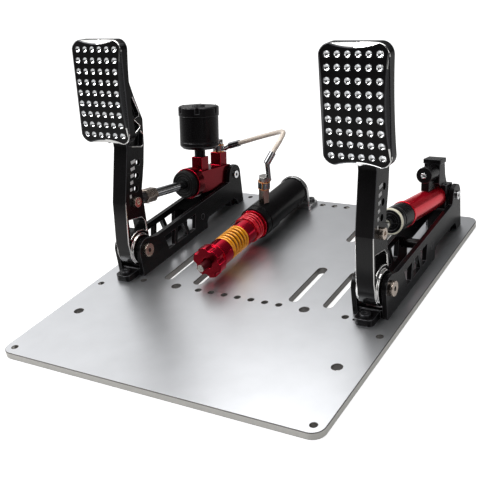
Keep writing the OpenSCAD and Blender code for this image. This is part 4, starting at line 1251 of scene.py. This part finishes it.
@dataclass
class MasterCylinder:
    """Master cylinder with its reservoir and pushrod. Lengths are in millimetres.

    Attributes:
        boot_rings: radii of the rings on the boot
        ring_wire: thickness of a ring's bead
        bore_end: distance from the rear pin at which the bore has ended
        bore_reach: radius inside which everything belongs to the bore
        spring: the return spring inside
    """

    boot_rings: tuple[float, ...] = (9.5, 13.0, 16.5)
    ring_wire: float = 0.8
    bore_end: float = 12.0
    bore_reach: float = 9.3
    spring: CoilSpring = return_spring(
        "master_spring", BRAKE_PIN, BRAKE_TILT, (17.4, 59.2), 8.3, "brake_rod_slide", 8.8
    )

    def build(self) -> None:
        """Dresses the cylinder and the brake's rod."""
        # Painted shade: the body takes the darker red, with the lighter red only on its broken
        # edges
        dress("master_body", 0.6, RED_PAINTED_SHADE, RED_ANODISED, polish=1, rule=self._off_bore)
        dress("master_boot", 0.6, BLACK_RUBBER)
        self._boot_rings()
        dress("reservoir_body", 0.6, BLACK_PLASTIC, PLASTIC_RIM_HIGHLIGHT, polish=1)
        dress("reservoir_cap", 0.6, BLACK_PLASTIC, PLASTIC_RIM_HIGHLIGHT, polish=1)
        dress("brake_rod_end", 0.6, DARK_STEEL)
        dress("brake_lock_nut", 0.6, WARM_STEEL)
        dress("brake_pushrod", 0.5, BRIGHT_STEEL)
        paint(frame["nodes"]["master_piston"], [BRIGHT_STEEL])
        paint(frame["nodes"]["reservoir_diaphragm"], [BLACK_RUBBER])
        self.spring.build()

    def _off_bore(self, point: Vector) -> float:
        """Leaves the edges in the bore sharp.

        Args:
            point: middle of an edge, in metres

        Returns:
            The share of the full width for that edge.
        """
        forward = toward_pedal(BRAKE_TILT)
        from_pin = (point - Vector(BRAKE_PIN)) / MM
        ahead = from_pin.dot(forward)
        off_axis = (from_pin - forward * ahead).length
        return 0.0 if ahead > self.bore_end and off_axis < self.bore_reach else 1.0

    def _boot_rings(self) -> None:
        """Adds the moulded rings on the front of the boot, in one piece."""
        forward = toward_pedal(BRAKE_TILT)
        pin = Vector(BRAKE_PIN)
        boot = frame["nodes"]["master_boot"].data
        reach = max((vertex.co - pin).dot(forward) for vertex in boot.vertices)
        turn = (-forward).to_track_quat("Z", "Y").to_matrix().to_4x4()
        facing = Matrix.Translation(pin + forward * reach) @ turn
        rings = []
        for radius in self.boot_rings:
            bpy.ops.mesh.primitive_torus_add(
                major_radius=radius * MM, minor_radius=self.ring_wire * MM, major_segments=64,
                minor_segments=12,
            )
            ring = bpy.context.object
            ring.data.transform(facing)
            rings.append(ring)
        beads = join_all(rings, "master_boot_rings")
        paint(beads, [BLACK_RUBBER])
        smooth(beads, 60.0)
        settle(beads, "master_boot", replaces=False)


@dataclass
class Damper:
    """Throttle damper with its rod, gland and sensor. Lengths are in millimetres.

    Attributes:
        spring: the return spring inside
    """

    spring: CoilSpring = return_spring(
        "damper_spring", THROTTLE_PIN, THROTTLE_TILT, (22.6, 77.6), 10.4, "throttle_rod_slide", 19.6
    )

    def build(self) -> None:
        """Dresses the damper and the throttle's rod."""
        dress("bumper_ring", 0.4, CREAM_POLYMER)
        dress("damper_gland", 0.4, BLACK_ANODISED, BLACK_EDGE_HIGHLIGHT, polish=1)
        dress("damper_tube", 0.5, RED_TUBE)
        dress("damper_rear_block", 0.9, BLACK_ANODISED, BLACK_EDGE_HIGHLIGHT, polish=1)
        dress("sensor_housing", 0.6, BLACK_PLASTIC, PLASTIC_RIM_HIGHLIGHT, polish=1)
        dress("sensor_cap", 0.9, BLACK_PLASTIC, PLASTIC_RIM_HIGHLIGHT, polish=1)
        dress("sensor_screw", 0.4, CHROME)
        dress("throttle_rod_end", 0.6, DARK_STEEL)
        dress("damper_rod", 0.5, BRIGHT_STEEL)
        self.spring.build()


@dataclass
class PressureUnit:
    """Pressure unit with its knob, springs and collar. Lengths are in metres.

    Attributes:
        springs: the two springs that the piston presses
        flange_front: Y at which the piston's bright flange starts
        guide_front: Y at which the bright end of the threaded rod stops
    """

    springs: tuple[CoilSpring, ...] = (
        CoilSpring(
            "front_coil", "front_spring", YELLOW_SPRING, start=(-0.052, 0.013, 0.034), length=39.0,
            outer_radius=16.5, wire=3.2, turns=6.4, joint="spacer_slide", keep=0.9205,
        ),
        CoilSpring(
            "rear_coil", "rear_spring", RED_SPRING, start=(-0.052, 0.07, 0.034), length=18.5,
            outer_radius=18.5, wire=2.6, turns=3.9, joint="slave_piston_slide", keep=0.8324,
        ),
    )
    flange_front: float = 0.0882
    guide_front: float = 0.012

    def build(self) -> None:
        """Dresses the unit."""
        for spring in self.springs:
            spring.build()
        dress("unit_body", 0.6, BLACK_ANODISED)
        dress("unit_collar", 0.5, BLACK_ANODISED)
        dress("unit_bracket", 0.5, BRACKET_STEEL)
        knob = dress("preload_knob", 0.7, RED_TURNED, RED_PAINTED_SHADE)
        # Painted shade on the knob's front face, which faces away from the light
        paint_faces(knob, 1, lambda corners, normal: normal.y < -0.9)
        dress("front_sleeve", 0.5, RED_TURNED)
        dress("spring_spacer", 0.5, RED_TURNED)
        piston = dress("unit_piston", 0.4, RED_TURNED, RED_SHADED)
        paint_faces(piston, 1, lambda corners, normal: middle(corners).y < self.flange_front)
        guide = dress("threaded_rod", 0.6, ROD_STEEL, RED_SHADED)
        paint_faces(guide, 1, lambda corners, normal: middle(corners).y > self.guide_front)
        dress("bleed_nipple", 0.3, BRONZE)
        dress("port_adaptor", 0.5, ADAPTOR_STEEL)


def main() -> None:
    """Builds the studio and every sub-assembly."""
    logging.basicConfig(level=logging.INFO, format="%(name)s: %(message)s")
    bpy.context.scene.view_settings.view_transform = "Standard"
    builders = (
        Studio(), Hose(), Carrier(), Pedal("brake", BRAKE_PIVOT, 0.0),
        Pedal("throttle", THROTTLE_PIVOT, 2.83), MasterCylinder(), Damper(), PressureUnit(),
    )
    for builder in builders:
        builder.build()
        LOG.info("%s done", type(builder).__name__)


if __name__ == "__main__":
    main()
